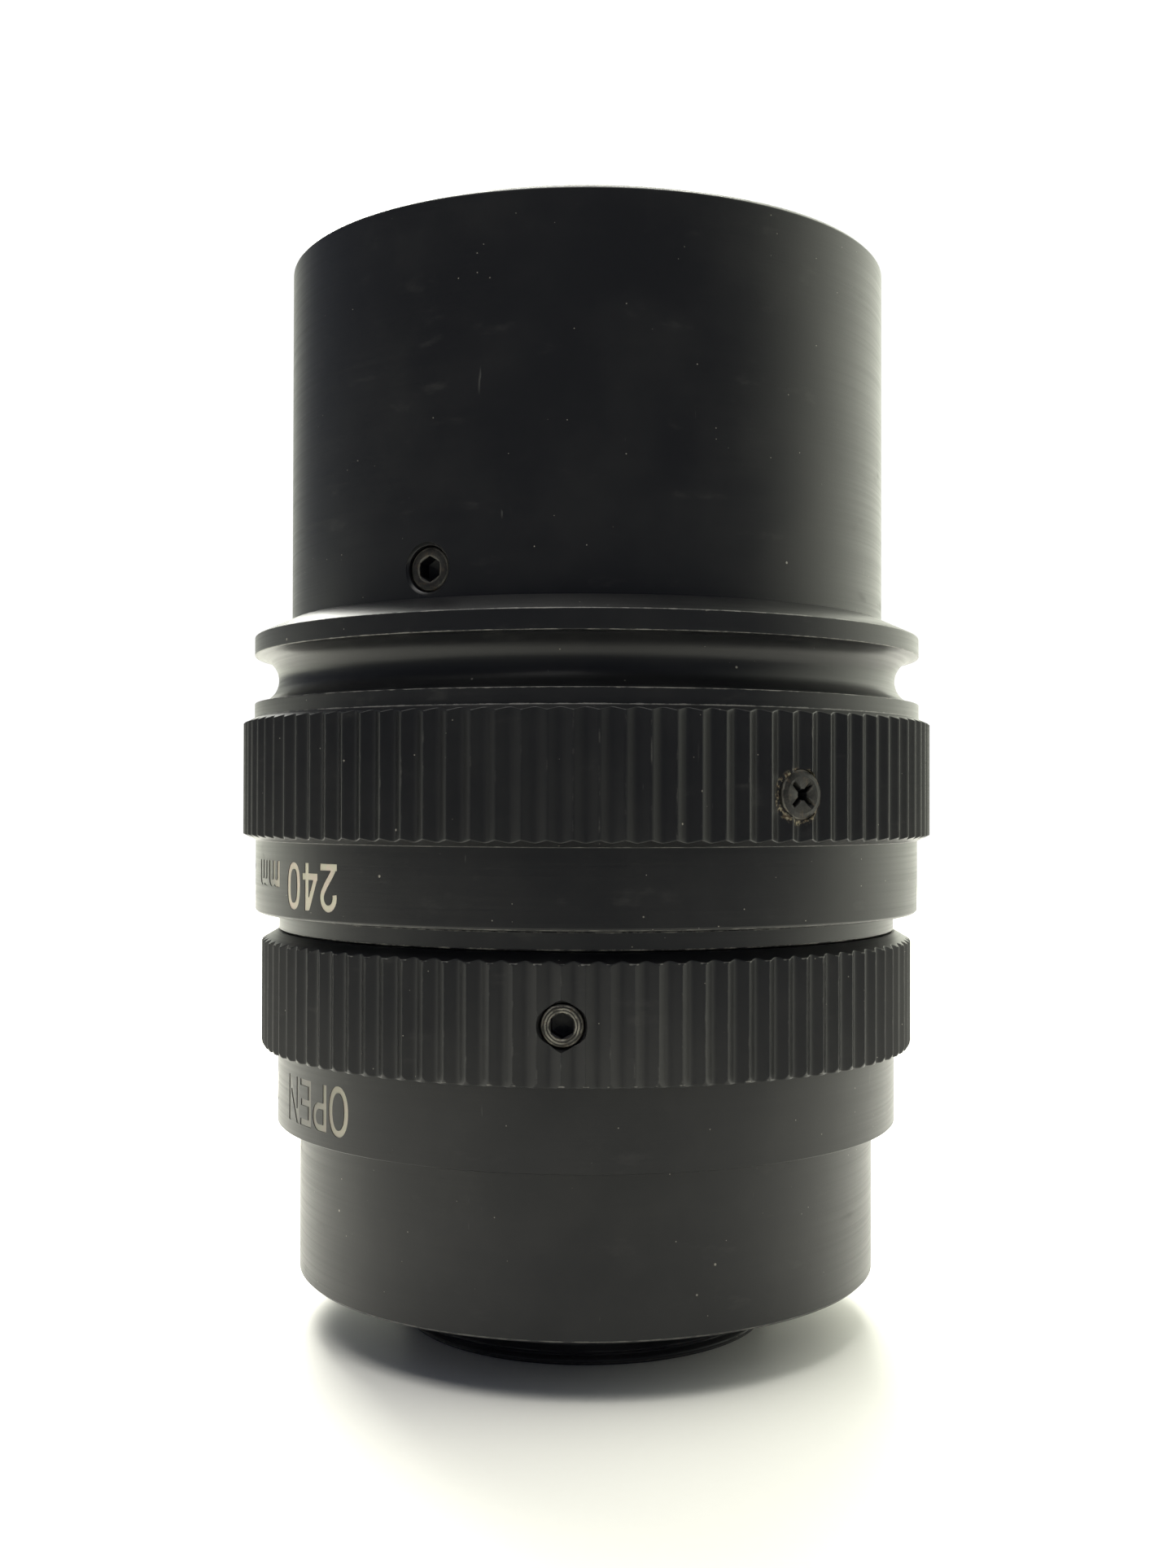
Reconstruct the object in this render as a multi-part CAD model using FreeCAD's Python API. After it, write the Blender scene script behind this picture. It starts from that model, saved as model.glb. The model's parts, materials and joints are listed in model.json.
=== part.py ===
import FreeCAD, Part
import math
import os

os.makedirs("parts", exist_ok=True)

# Manual C-mount lens, standing on its mount thread with the optical axis along +Z.
# Millimetres. The origin is the centre of the thread's end face.
# Bearings are in degrees about +Z, counted from the -Y side, and grow towards +X.

# ---- driving dimensions: outside -------------------------------------------------
TOTAL_HEIGHT = 72.0
THREAD_RADIUS = 12.7
THREAD_LENGTH = 3.7
REAR_RADIUS = 19.86
REAR_TOP = 13.9
IRIS_BAND_RADIUS = 21.4
IRIS_BAND_TOP = 19.1
IRIS_KNURL_RADIUS = 22.5
IRIS_KNURL_TOP = 26.2
SPACER_RADIUS = 21.35
SPACER_BOTTOM = 26.9
SPACER_TOP = 28.1
FOCUS_BAND_RADIUS = 22.94
FOCUS_BAND_TOP = 33.0
FOCUS_KNURL_RADIUS = 23.78
FOCUS_KNURL_BOTTOM = 33.4
FOCUS_KNURL_TOP = 40.85
FLANGE_RADIUS = 23.04
LAND_BOTTOM = 41.2
LAND_TOP = 42.2
GROOVE_DEEPEST_RADIUS = 21.42
FLANGE_BOTTOM = 45.47
FLANGE_TOP = 46.76
CONE_TOP = 47.82
BARREL_RADIUS = 20.53
KNURL_COUNT = 100
FOCUS_FLUTE_DEPTH = 0.38
FOCUS_RIDGE_SHARE = 0.5
IRIS_FLUTE_DEPTH = 0.36
IRIS_RIDGE_SHARE = 0.0

# ---- driving dimensions: motion --------------------------------------------------
RUNNING_GAP = 0.05
FACE_GAP = 0.05
FOCUS_TRAVEL = 4.0
FOCUS_TURN = 160.0
IRIS_TURN = 60.0
BLADE_SWING = 34.0

# ---- driving dimensions: inside --------------------------------------------------
JOURNAL_RADIUS = 19.2
SLIDE_BORE = 17.5
REAR_CELL_RADIUS = 14.0
REAR_BORE = 10.0
FLOOR_BOTTOM = 5.65
FLOOR_TOP = 7.65
TUBE_BOTTOM = 8.0
CAVITY_RADIUS = 16.2
CAVITY_FLOOR = 22.0
SLEEVE_JOURNAL = 20.95
SLEEVE_NECK = 20.2
SLEEVE_TOP = 31.5
LIP_TOP = 29.95
NUT_RADIUS = 21.6
NUT_BOTTOM = 31.6
NUT_TOP = 41.5
HELICOID_RADIUS = 19.2
HELICOID_BOTTOM = 32.3
BARREL_BOTTOM = 42.0
TUBE_NECK_RADIUS = 19.0
TUBE_TOP = 55.0
FRONT_CELL_RADIUS = 17.2
FRONT_CELL_BOTTOM = 31.0
FRONT_CELL_TOP = 57.0
HOOD_BORE = 18.9
HOOD_RIB_BORE = 18.55
HOOD_BOTTOM = 57.2
FILTER_THREAD_RADIUS = 19.23
FILTER_THREAD_BOTTOM = 68.8

# ---- driving dimensions: screws --------------------------------------------------
FOCUS_SCREW_BEARING = 32.6
FOCUS_SCREW_HEIGHT = 36.05
BARREL_SCREW_BEARING = -27.9
BARREL_SCREW_HEIGHT = 49.6
LOCK_BEARING = -3.5
LOCK_HEIGHT = 22.7
LOCK_HOLE_RADIUS = 1.3
DRIVE_BEARING = 150.0
DRIVE_HEIGHT = 20.8
DRIVE_PIN_RADIUS = 0.75
DRIVE_THREAD_RADIUS = 1.0
KEY_BEARINGS = (60.0, -60.0)
KEY_WIDTH = 3.0
KEY_BOTTOM = 14.5
KEY_TOP = 18.5
SLEEVE_SCREW_BEARING = 30.0
SLEEVE_SCREW_HEIGHT = 25.6
MOUNT_SCREW_CIRCLE = 14.9
MOUNT_SCREW_BEARING = 60.0
STOP_BEARING = -130.0
STOP_HEIGHT = 29.2
STOP_PIN_RADIUS = 0.45

# ---- driving dimensions: iris ----------------------------------------------------
BLADE_COUNT = 6
BLADE_THICKNESS = 0.09
BLADE_PITCH = 0.15
BLADE_BOTTOM = 23.0
BLADE_INNER = 8.4
BLADE_OUTER = 12.4
BLADE_START = -8.0
BLADE_END = 122.0
PIVOT_CIRCLE = 14.0
PIN_RADIUS = 0.35
PIN_ARM = 2.6
PIN_DIRECTION = 73.0
CAM_BOTTOM = 24.0
CAM_TOP = 25.0
FORK_HALF_ANGLE = 5.5

ORIGIN = FreeCAD.Vector(0, 0, 0)
AXIS = FreeCAD.Vector(0, 0, 1)
OUTWARD = FreeCAD.Vector(0, -1, 0)


# ---- helpers ---------------------------------------------------------------------
def save(shape, name):
    """Writes one node, as the clean solids that it holds."""
    solids = shape.Solids
    for solid in solids:
        if not solid.isValid():
            raise RuntimeError(name + " has a solid that is not valid")
    node = solids[0] if len(solids) == 1 else Part.makeCompound(solids)
    node.exportStep("parts/" + name + ".step")
    print(name, len(solids), "solids", round(node.Volume, 1), "mm3")


def turned(shape, bearing):
    """A copy of the shape, turned about the optical axis."""
    copy = shape.copy()
    copy.rotate(ORIGIN, AXIS, bearing)
    return copy


def around(shape, count, first=0.0):
    """Equally spaced copies of the shape about the optical axis."""
    return [turned(shape, first + 360.0 * i / count) for i in range(count)]


def section_point(step):
    return FreeCAD.Vector(step[0], 0, step[1])


def revolved(start, *steps):
    """Solid of revolution. A step is (radius, height), or a pair of them for an arc through the first."""
    edges = []
    here = section_point(start)
    for step in steps + (start,):
        if isinstance(step[0], tuple):
            middle = section_point(step[0])
            end = section_point(step[1])
            edges.append(Part.Arc(here, middle, end).toShape())
        else:
            end = section_point(step)
            edges.append(Part.LineSegment(here, end).toShape())
        here = end
    return Part.Face(Part.Wire(edges)).revolve(ORIGIN, AXIS, 360)


def tube(inner, outer, bottom, top):
    return revolved((inner, bottom), (outer, bottom), (outer, top), (inner, top))


def sector(inner, outer, bottom, top, first, last):
    """Part of a tube, from one bearing to another."""
    face = Part.Face(Part.makePolygon([
        FreeCAD.Vector(0, -inner, bottom),
        FreeCAD.Vector(0, -outer, bottom),
        FreeCAD.Vector(0, -outer, top),
        FreeCAD.Vector(0, -inner, top),
        FreeCAD.Vector(0, -inner, bottom),
    ]))
    return turned(face.revolve(ORIGIN, AXIS, last - first), first)


def radial_rod(radius, inner, outer, height):
    """A round rod that lies along the -Y radius, from one distance from the axis to another."""
    return Part.makeCylinder(radius, outer - inner, FreeCAD.Vector(0, -inner, height), OUTWARD)


def radial_cone(inner_radius, outer_radius, inner, outer, height):
    place = FreeCAD.Vector(0, -inner, height)
    return Part.makeCone(inner_radius, outer_radius, outer - inner, place, OUTWARD)


def radial_block(width, depth_inner, depth_outer, bottom, top):
    corner = FreeCAD.Vector(-width / 2, -depth_outer, bottom)
    return Part.makeBox(width, depth_outer - depth_inner, top - bottom, corner)


def hex_socket(across_flats, inner, outer, height):
    """Hexagonal cut along the -Y radius."""
    corner_radius = across_flats / math.sqrt(3)
    corners = []
    for i in range(7):
        angle = math.radians(60 * i + 30)
        x = corner_radius * math.cos(angle)
        z = height + corner_radius * math.sin(angle)
        corners.append(FreeCAD.Vector(x, -inner, z))
    return Part.Face(Part.makePolygon(corners)).extrude(OUTWARD * (outer - inner))


def set_screw(radius, tip, face, height, across_flats, socket_depth, cone=0.0):
    """Headless hex socket screw along the -Y radius, with an optional cone point."""
    edge = 0.12
    shape = radial_rod(radius, tip + cone, face - edge, height)
    shape = shape.fuse(radial_cone(radius, radius - edge, face - edge, face, height))
    if cone:
        shape = shape.fuse(radial_cone(radius * 0.35, radius, tip, tip + cone, height))
    socket = hex_socket(across_flats, face - socket_depth, face + 1, height)
    return shape.cut(socket).removeSplitter()


def cross_recess(inner, outer, height, length, width, tilt):
    """Two crossed, tapering slots for a cross-head driver, along the -Y radius."""
    first = radial_block(width, inner, outer, height - length / 2, height + length / 2)
    second = first.copy()
    first.rotate(FreeCAD.Vector(0, 0, height), OUTWARD, tilt)
    second.rotate(FreeCAD.Vector(0, 0, height), OUTWARD, tilt + 90)
    point = radial_cone(width * 0.3, width * 1.1, inner - 0.15, outer, height)
    return first.fuse([second, point])


def flute_cutter(tip_radius, depth, ridge_share, bottom, top):
    """Ring whose inner wall is the outline of V-shaped flutes that meet in sharp ridges.

    ridge_share is how far the first ridge is past the +X side, in flutes."""
    points = []
    for i in range(2 * KNURL_COUNT + 1):
        angle = math.pi * (i + 2 * ridge_share) / KNURL_COUNT
        radius = tip_radius - depth * (i % 2)
        points.append(FreeCAD.Vector(radius * math.cos(angle), radius * math.sin(angle), bottom))
    height = FreeCAD.Vector(0, 0, top - bottom)
    fluted_bar = Part.Face(Part.makePolygon(points)).extrude(height)
    round_bar = Part.makeCylinder(tip_radius + 2, top - bottom, FreeCAD.Vector(0, 0, bottom))
    return round_bar.cut(fluted_bar)


def spanner_slots(inner, outer, top, depth):
    """Two opposite slots for a pin or blade spanner."""
    slot = radial_block(1.2, inner - 1, outer + 1, top - depth, top + 1)
    return around(slot, 2, 90)


def sag(curvature_radius, edge_radius):
    """How far a spherical face's rim lies from its middle."""
    return curvature_radius - math.sqrt(curvature_radius ** 2 - edge_radius ** 2)


def lens(top, bottom, edge_radius, top_curve, bottom_curve):
    """Round glass element. Heights are at the axis. A curve is a radius, plus when the face is convex."""
    half = edge_radius / 2

    def drop(curve, radius):
        return math.copysign(sag(abs(curve), radius), curve)

    top_edge = top - drop(top_curve, edge_radius)
    bottom_edge = bottom + drop(bottom_curve, edge_radius)
    return revolved(
        (0, bottom),
        ((half, bottom + drop(bottom_curve, half)), (edge_radius, bottom_edge)),
        (edge_radius, top_edge),
        ((half, top - drop(top_curve, half)), (0, top)),
    )


# ---- mount and fixed barrel ------------------------------------------------------
MOUNT_FLANGE_RADIUS = 17.0
MOUNT_FLANGE_TOP = 5.5
MOUNT_SCREW_RADIUS = 1.0
MOUNT_SCREW_HEAD = 1.75
MOUNT_SCREW_FACE = 3.72


def mount_screw(extra):
    """One countersunk screw on the mount ring, pointing up. extra widens it into its own hole."""
    place = FreeCAD.Vector(0, -MOUNT_SCREW_CIRCLE, MOUNT_SCREW_FACE)
    head = Part.makeCone(MOUNT_SCREW_HEAD + extra, MOUNT_SCREW_RADIUS + extra, 0.8, place)
    shank = Part.makeCylinder(MOUNT_SCREW_RADIUS + extra, 3.5, place)
    return head.fuse(shank)


def mount_screws():
    place = FreeCAD.Vector(-0.2, -MOUNT_SCREW_CIRCLE - 1, MOUNT_SCREW_FACE - 0.01)
    slot = Part.makeBox(0.4, 2.0, 0.55, place)
    middle = FreeCAD.Vector(0, -MOUNT_SCREW_CIRCLE, 0)
    crossing = slot.copy()
    crossing.rotate(middle, AXIS, 90)
    screw = mount_screw(0).cut(slot.fuse(crossing))
    return Part.makeCompound(around(screw, 3, MOUNT_SCREW_BEARING))


def c_mount_ring():
    relief_radius = 12.1
    relief_height = 0.5
    edge = 0.3
    shape = revolved(
        (REAR_BORE, 0),
        (THREAD_RADIUS - edge, 0),
        (THREAD_RADIUS, edge),
        (THREAD_RADIUS, THREAD_LENGTH - relief_height),
        (relief_radius, THREAD_LENGTH - relief_height),
        (relief_radius, THREAD_LENGTH),
        (MOUNT_FLANGE_RADIUS, THREAD_LENGTH),
        (MOUNT_FLANGE_RADIUS, MOUNT_FLANGE_TOP),
        (REAR_BORE, MOUNT_FLANGE_TOP),
    )
    seat = Part.makeCylinder(
        MOUNT_SCREW_HEAD + 0.02, 1, FreeCAD.Vector(0, -MOUNT_SCREW_CIRCLE, MOUNT_SCREW_FACE - 1))
    return shape.cut(around(mount_screw(0.02).fuse(seat), 3, MOUNT_SCREW_BEARING))


def mount_shim():
    return tube(10.6, 16.9, MOUNT_FLANGE_TOP, FLOOR_BOTTOM).cut(
        around(mount_screw(0.1), 3, MOUNT_SCREW_BEARING))


def key_screw(extra):
    """Screw that holds a guide key, from outside the journal. extra widens it into its own hole."""
    middle = (KEY_BOTTOM + KEY_TOP) / 2
    head = radial_rod(1.3 + extra, 18.5, JOURNAL_RADIUS - 0.1 + extra, middle)
    return head.fuse(radial_rod(0.8 + extra, 16.7, 18.5, middle))


def rear_barrel():
    edge = 0.2
    spigot_radius = 18.2
    spigot_bottom = 24.4
    shape = revolved(
        (REAR_BORE + 0.5, FLOOR_BOTTOM),
        (MOUNT_FLANGE_RADIUS + 0.06, FLOOR_BOTTOM),
        (MOUNT_FLANGE_RADIUS + 0.06, THREAD_LENGTH),
        (REAR_RADIUS - edge, THREAD_LENGTH),
        (REAR_RADIUS, THREAD_LENGTH + edge),
        (REAR_RADIUS, REAR_TOP),
        (JOURNAL_RADIUS, REAR_TOP),
        (JOURNAL_RADIUS, SPACER_BOTTOM),
        (spigot_radius, SPACER_BOTTOM),
        (spigot_radius, spigot_bottom),
        (SLIDE_BORE, spigot_bottom),
        (SLIDE_BORE, FLOOR_TOP),
        (REAR_BORE + 0.5, FLOOR_TOP),
    )
    key_slot = radial_block(KEY_WIDTH, 16, 18, KEY_BOTTOM, KEY_TOP)
    cuts = around(mount_screw(0), 3, MOUNT_SCREW_BEARING)
    cuts += around(radial_rod(1.0, 17, 20, SLEEVE_SCREW_HEIGHT), 3, SLEEVE_SCREW_BEARING)
    for bearing in KEY_BEARINGS:
        cuts.append(turned(key_slot, bearing))
        cuts.append(turned(key_screw(0).fuse(radial_rod(1.3, 19, 20, (KEY_BOTTOM + KEY_TOP) / 2)), bearing))
    half_slot = DRIVE_PIN_RADIUS + RUNNING_GAP
    slack = math.degrees(half_slot / SLIDE_BORE) + 0.4
    cuts.append(sector(
        17, 20, DRIVE_HEIGHT - half_slot, DRIVE_HEIGHT + half_slot,
        DRIVE_BEARING - slack, DRIVE_BEARING + IRIS_TURN + slack))
    return shape.cut(cuts)


def center_sleeve():
    spigot_radius = 18.2
    spigot_bottom = 24.4
    edge = 0.1
    shape = revolved(
        (SLIDE_BORE, spigot_bottom),
        (spigot_radius, spigot_bottom),
        (spigot_radius, SPACER_BOTTOM),
        (SPACER_RADIUS - edge, SPACER_BOTTOM),
        (SPACER_RADIUS, SPACER_BOTTOM + edge),
        (SPACER_RADIUS, SPACER_TOP - edge),
        (SPACER_RADIUS - edge, SPACER_TOP),
        (SLEEVE_JOURNAL, SPACER_TOP),
        (SLEEVE_JOURNAL, LIP_TOP + FACE_GAP),
        (SLEEVE_NECK, LIP_TOP + FACE_GAP),
        (SLEEVE_NECK, SLEEVE_TOP),
        (SLIDE_BORE, SLEEVE_TOP),
    )
    half_slot = STOP_PIN_RADIUS + RUNNING_GAP
    slack = math.degrees(half_slot / 20) + 0.2
    stop_groove = sector(
        19.9, 22, STOP_HEIGHT - half_slot, STOP_HEIGHT + half_slot,
        STOP_BEARING - FOCUS_TURN - slack, STOP_BEARING + slack)
    dimples = around(radial_rod(1.0, 17.9, 19, SLEEVE_SCREW_HEIGHT), 3, SLEEVE_SCREW_BEARING)
    return shape.cut([stop_groove] + dimples)


def sleeve_set_screws():
    screw = set_screw(1.0, 17.9, 19.1, SLEEVE_SCREW_HEIGHT, 0.9, 0.7)
    return Part.makeCompound(around(screw, 3, SLEEVE_SCREW_BEARING))


def guide_keys():
    key = radial_block(KEY_WIDTH, 16.3, 18, KEY_BOTTOM, KEY_TOP)
    key = key.common(tube(16.2, 17.98, KEY_BOTTOM - 1, KEY_TOP + 1)).cut(key_screw(0))
    return Part.makeCompound([turned(key, bearing) for bearing in KEY_BEARINGS])


def guide_key_screws():
    middle = (KEY_BOTTOM + KEY_TOP) / 2
    slot = radial_block(0.35, 18.75, 20, middle - 1.6, middle + 1.6)
    screw = key_screw(0).cut(slot)
    return Part.makeCompound([turned(screw, bearing) for bearing in KEY_BEARINGS])


def focus_retaining_ring():
    bottom = LIP_TOP + FACE_GAP
    ring = tube(SLEEVE_NECK, 21.9, bottom, SLEEVE_TOP)
    return ring.cut(spanner_slots(SLEEVE_NECK, 21.9, SLEEVE_TOP, 0.7))


# ---- iris control ring -----------------------------------------------------------
def iris_ring():
    edge = 0.2
    bore = JOURNAL_RADIUS + RUNNING_GAP
    bottom = REAR_TOP + FACE_GAP
    top = SPACER_BOTTOM - FACE_GAP
    shape = revolved(
        (bore, bottom),
        (IRIS_BAND_RADIUS - edge, bottom),
        (IRIS_BAND_RADIUS, bottom + edge),
        (IRIS_BAND_RADIUS, IRIS_BAND_TOP),
        (IRIS_KNURL_RADIUS - 0.15, IRIS_BAND_TOP),
        (IRIS_KNURL_RADIUS, IRIS_BAND_TOP + 0.3),
        (IRIS_KNURL_RADIUS, IRIS_KNURL_TOP),
        (IRIS_BAND_RADIUS, top),
        (bore, top),
    )
    shape = shape.cut(flute_cutter(
        IRIS_KNURL_RADIUS, IRIS_FLUTE_DEPTH, IRIS_RIDGE_SHARE, IRIS_BAND_TOP - 0.1, SPACER_BOTTOM + 0.5))
    lock_hole = radial_rod(LOCK_HOLE_RADIUS, 18, 24, LOCK_HEIGHT)
    lock_hole = lock_hole.fuse(radial_cone(LOCK_HOLE_RADIUS, 1.6, 22.1, 22.7, LOCK_HEIGHT))
    drive_hole = radial_rod(DRIVE_THREAD_RADIUS, 18, 24, DRIVE_HEIGHT)
    return shape.cut([turned(lock_hole, LOCK_BEARING), turned(drive_hole, DRIVE_BEARING)])


def iris_drive_screw():
    """Slotted headless screw in the iris ring, whose plain end is the pin that drives the iris."""
    pin = radial_rod(DRIVE_PIN_RADIUS, 16.45, 19.5, DRIVE_HEIGHT)
    thread = radial_rod(DRIVE_THREAD_RADIUS, 19.4, 22.1, DRIVE_HEIGHT)
    slot = radial_block(0.35, 21.5, 23, DRIVE_HEIGHT - 2, DRIVE_HEIGHT + 2)
    return turned(pin.fuse(thread).cut(slot), DRIVE_BEARING)


LOCK_SCREW_RADIUS = LOCK_HOLE_RADIUS - RUNNING_GAP
LOCK_PAD_INNER = JOURNAL_RADIUS + 0.1
LOCK_PAD_OUTER = 20.2


def iris_lock_pad():
    pad = radial_rod(LOCK_SCREW_RADIUS - RUNNING_GAP, LOCK_PAD_INNER, LOCK_PAD_OUTER, LOCK_HEIGHT)
    return turned(pad.cut(tube(10, LOCK_PAD_INNER + 0.06, 15, 30)), LOCK_BEARING)


def iris_lock_screw():
    screw = set_screw(LOCK_SCREW_RADIUS, LOCK_PAD_OUTER + FACE_GAP, 22.35, LOCK_HEIGHT, 1.3, 1.2)
    return turned(screw, LOCK_BEARING)


# ---- focus control ring ----------------------------------------------------------
FOCUS_SCREW_HEAD = 1.5
FOCUS_SCREW_SEAT = 22.45


def focus_ring():
    edge = 0.15
    bore = BARREL_RADIUS + 0.12
    lip_bore = SLEEVE_JOURNAL + RUNNING_GAP
    bottom = SPACER_TOP + FACE_GAP
    groove_middle = (LAND_TOP + FLANGE_BOTTOM) / 2
    shape = revolved(
        (lip_bore, bottom),
        (FOCUS_BAND_RADIUS - edge, bottom),
        (FOCUS_BAND_RADIUS, bottom + edge),
        (FOCUS_BAND_RADIUS, FOCUS_BAND_TOP),
        (FOCUS_KNURL_RADIUS, FOCUS_KNURL_BOTTOM),
        (FOCUS_KNURL_RADIUS, FOCUS_KNURL_TOP),
        (FLANGE_RADIUS, LAND_BOTTOM),
        (FLANGE_RADIUS, LAND_TOP),
        ((GROOVE_DEEPEST_RADIUS, groove_middle), (FLANGE_RADIUS, FLANGE_BOTTOM)),
        (FLANGE_RADIUS, FLANGE_TOP - edge / 2),
        (FLANGE_RADIUS - edge / 2, FLANGE_TOP),
        (bore, CONE_TOP),
        (bore, NUT_TOP + 0.1),
        (NUT_RADIUS, NUT_TOP + 0.1),
        (NUT_RADIUS, NUT_BOTTOM),
        (22.0, NUT_BOTTOM),
        (22.0, LIP_TOP),
        (lip_bore, LIP_TOP),
    )
    shape = shape.cut(flute_cutter(
        FOCUS_KNURL_RADIUS, FOCUS_FLUTE_DEPTH, FOCUS_RIDGE_SHARE, FOCUS_BAND_TOP - 0.1, LAND_BOTTOM + 0.1))
    screw_hole = radial_rod(1.0, 20, 23, FOCUS_SCREW_HEIGHT)
    head_seat = radial_rod(FOCUS_SCREW_HEAD + 0.06, FOCUS_SCREW_SEAT, 25, FOCUS_SCREW_HEIGHT)
    cuts = around(screw_hole.fuse(head_seat), 3, FOCUS_SCREW_BEARING)
    cuts.append(turned(radial_rod(STOP_PIN_RADIUS, 20, 22.3, STOP_HEIGHT), STOP_BEARING))
    return shape.cut(cuts)


def helicoid_nut():
    ring = tube(HELICOID_RADIUS + RUNNING_GAP, NUT_RADIUS, NUT_BOTTOM, NUT_TOP)
    return ring.cut(around(radial_rod(1.0, 18, 23, FOCUS_SCREW_HEIGHT), 3, FOCUS_SCREW_BEARING))


def focus_ring_screws():
    face = 23.70
    head = radial_rod(FOCUS_SCREW_HEAD, FOCUS_SCREW_SEAT, face - 0.25, FOCUS_SCREW_HEIGHT)
    crown = radial_cone(FOCUS_SCREW_HEAD, FOCUS_SCREW_HEAD - 0.35, face - 0.25, face, FOCUS_SCREW_HEIGHT)
    shank = radial_rod(1.0, 19.6, FOCUS_SCREW_SEAT, FOCUS_SCREW_HEIGHT)
    recess = cross_recess(face - 0.75, face + 0.2, FOCUS_SCREW_HEIGHT, 2.0, 0.38, 45)
    screw = head.fuse([crown, shank]).cut(recess).removeSplitter()
    return Part.makeCompound(around(screw, 3, FOCUS_SCREW_BEARING))


def focus_stop_pin():
    return turned(radial_rod(STOP_PIN_RADIUS, 20.1, 22.3, STOP_HEIGHT), STOP_BEARING)


# ---- moving optical block --------------------------------------------------------
VEE_BOTTOM_RADIUS = 17.9


def lens_tube():
    slide = SLIDE_BORE - RUNNING_GAP
    vee_half = 1.2
    shape = revolved(
        (REAR_CELL_RADIUS, TUBE_BOTTOM),
        (slide, TUBE_BOTTOM),
        (slide, HELICOID_BOTTOM),
        (HELICOID_RADIUS, HELICOID_BOTTOM),
        (HELICOID_RADIUS, BARREL_BOTTOM),
        (TUBE_NECK_RADIUS, BARREL_BOTTOM),
        (TUBE_NECK_RADIUS, BARREL_SCREW_HEIGHT - vee_half),
        (VEE_BOTTOM_RADIUS, BARREL_SCREW_HEIGHT),
        (TUBE_NECK_RADIUS, BARREL_SCREW_HEIGHT + vee_half),
        (TUBE_NECK_RADIUS, TUBE_TOP),
        (FRONT_CELL_RADIUS, TUBE_TOP),
        (FRONT_CELL_RADIUS, FRONT_CELL_BOTTOM),
        (CAVITY_RADIUS, FRONT_CELL_BOTTOM),
        (CAVITY_RADIUS, CAVITY_FLOOR),
        (REAR_CELL_RADIUS, CAVITY_FLOOR),
    )
    key_way = radial_block(KEY_WIDTH + 2 * RUNNING_GAP, 16.1, 19, TUBE_BOTTOM - 1, KEY_TOP + 0.3)
    window = sector(
        16.15, 19, DRIVE_HEIGHT - FOCUS_TRAVEL - 1.5, CAM_TOP + 0.1,
        DRIVE_BEARING - FORK_HALF_ANGLE - 3, DRIVE_BEARING + IRIS_TURN + FORK_HALF_ANGLE + 3)
    return shape.cut([turned(key_way, bearing) for bearing in KEY_BEARINGS] + [window])


def front_barrel():
    edge = 0.25
    rib_count = 13
    rib_bottom = HOOD_BOTTOM + 1.4
    rib_pitch = (FILTER_THREAD_BOTTOM - 0.4 - rib_bottom) / rib_count
    ribs = []
    for i in range(rib_count):
        top = FILTER_THREAD_BOTTOM - 0.4 - i * rib_pitch
        ribs.append((HOOD_BORE, top))
        ribs.append((HOOD_RIB_BORE, top - rib_pitch * 0.5))
    shape = revolved(
        (TUBE_NECK_RADIUS, BARREL_BOTTOM),
        (BARREL_RADIUS, BARREL_BOTTOM),
        (BARREL_RADIUS, TOTAL_HEIGHT - edge),
        (BARREL_RADIUS - edge, TOTAL_HEIGHT),
        (FILTER_THREAD_RADIUS + 0.3, TOTAL_HEIGHT),
        (FILTER_THREAD_RADIUS, TOTAL_HEIGHT - 0.3),
        (FILTER_THREAD_RADIUS, FILTER_THREAD_BOTTOM),
        (HOOD_BORE, FILTER_THREAD_BOTTOM),
        *ribs,
        (HOOD_BORE, rib_bottom),
        (HOOD_BORE, HOOD_BOTTOM),
        (TUBE_NECK_RADIUS, HOOD_BOTTOM),
    )
    hole = radial_rod(1.5, 18, 22, BARREL_SCREW_HEIGHT)
    hole = hole.fuse(radial_cone(1.5, 1.72, 20.31, 20.6, BARREL_SCREW_HEIGHT))
    return shape.cut(around(hole, 3, BARREL_SCREW_BEARING))


def front_barrel_set_screws():
    screw = set_screw(1.5, VEE_BOTTOM_RADIUS + 0.6, 20.25, BARREL_SCREW_HEIGHT, 1.5, 1.0, cone=0.8)
    return Part.makeCompound(around(screw, 3, BARREL_SCREW_BEARING))


def front_trim_ring():
    """Blank conical ring around the front glass, with shallow turned steps."""
    bottom = HOOD_BOTTOM
    step_count = 5
    inner = 15.2
    rise = 0.9
    run = (HOOD_BORE - 0.3 - inner) / step_count
    steps = []
    for i in range(step_count):
        outer = HOOD_BORE - 0.3 - i * run
        top = bottom + 1.2 - i * rise / step_count
        steps.append((outer, top))
        steps.append((outer - run, top))
    return revolved((inner, bottom), (HOOD_BORE, bottom), (HOOD_BORE, bottom + 1.2), *steps)


# Glass, from the front of the lens to the back. All heights are for focus at infinity.
FRONT_LENS_RADIUS = 16.0
SECOND_LENS_RADIUS = 14.0
DOUBLET_RADIUS = 11.5
REAR_LENS_RADIUS = 11.0
FRONT_SEAT = 50.5
SECOND_SEAT = 43.0
SECOND_BORE_BOTTOM = 41.0
DOUBLET_SEAT = 32.2
REAR_SEAT = 20.5
REAR_CELL_TOP = 21.8
FRONT_CURVE = 42.0
SECOND_CURVE = 30.0
THIRD_CURVE = 26.0
CEMENTED_CURVE = 60.0
STOP_SIDE_CURVE = 20.0
SIXTH_CURVE = 24.0
REAR_CURVE = 40.0
FRONT_LENS_TOP = 57.0
SECOND_LENS_TOP = 50.0
THIRD_LENS_TOP = 42.4
FRONT_CEMENT_HEIGHT = 37.0
REAR_CEMENT_HEIGHT = 16.2
SIXTH_LENS_BOTTOM = 11.6
REAR_LENS_TOP = 11.2
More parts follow.
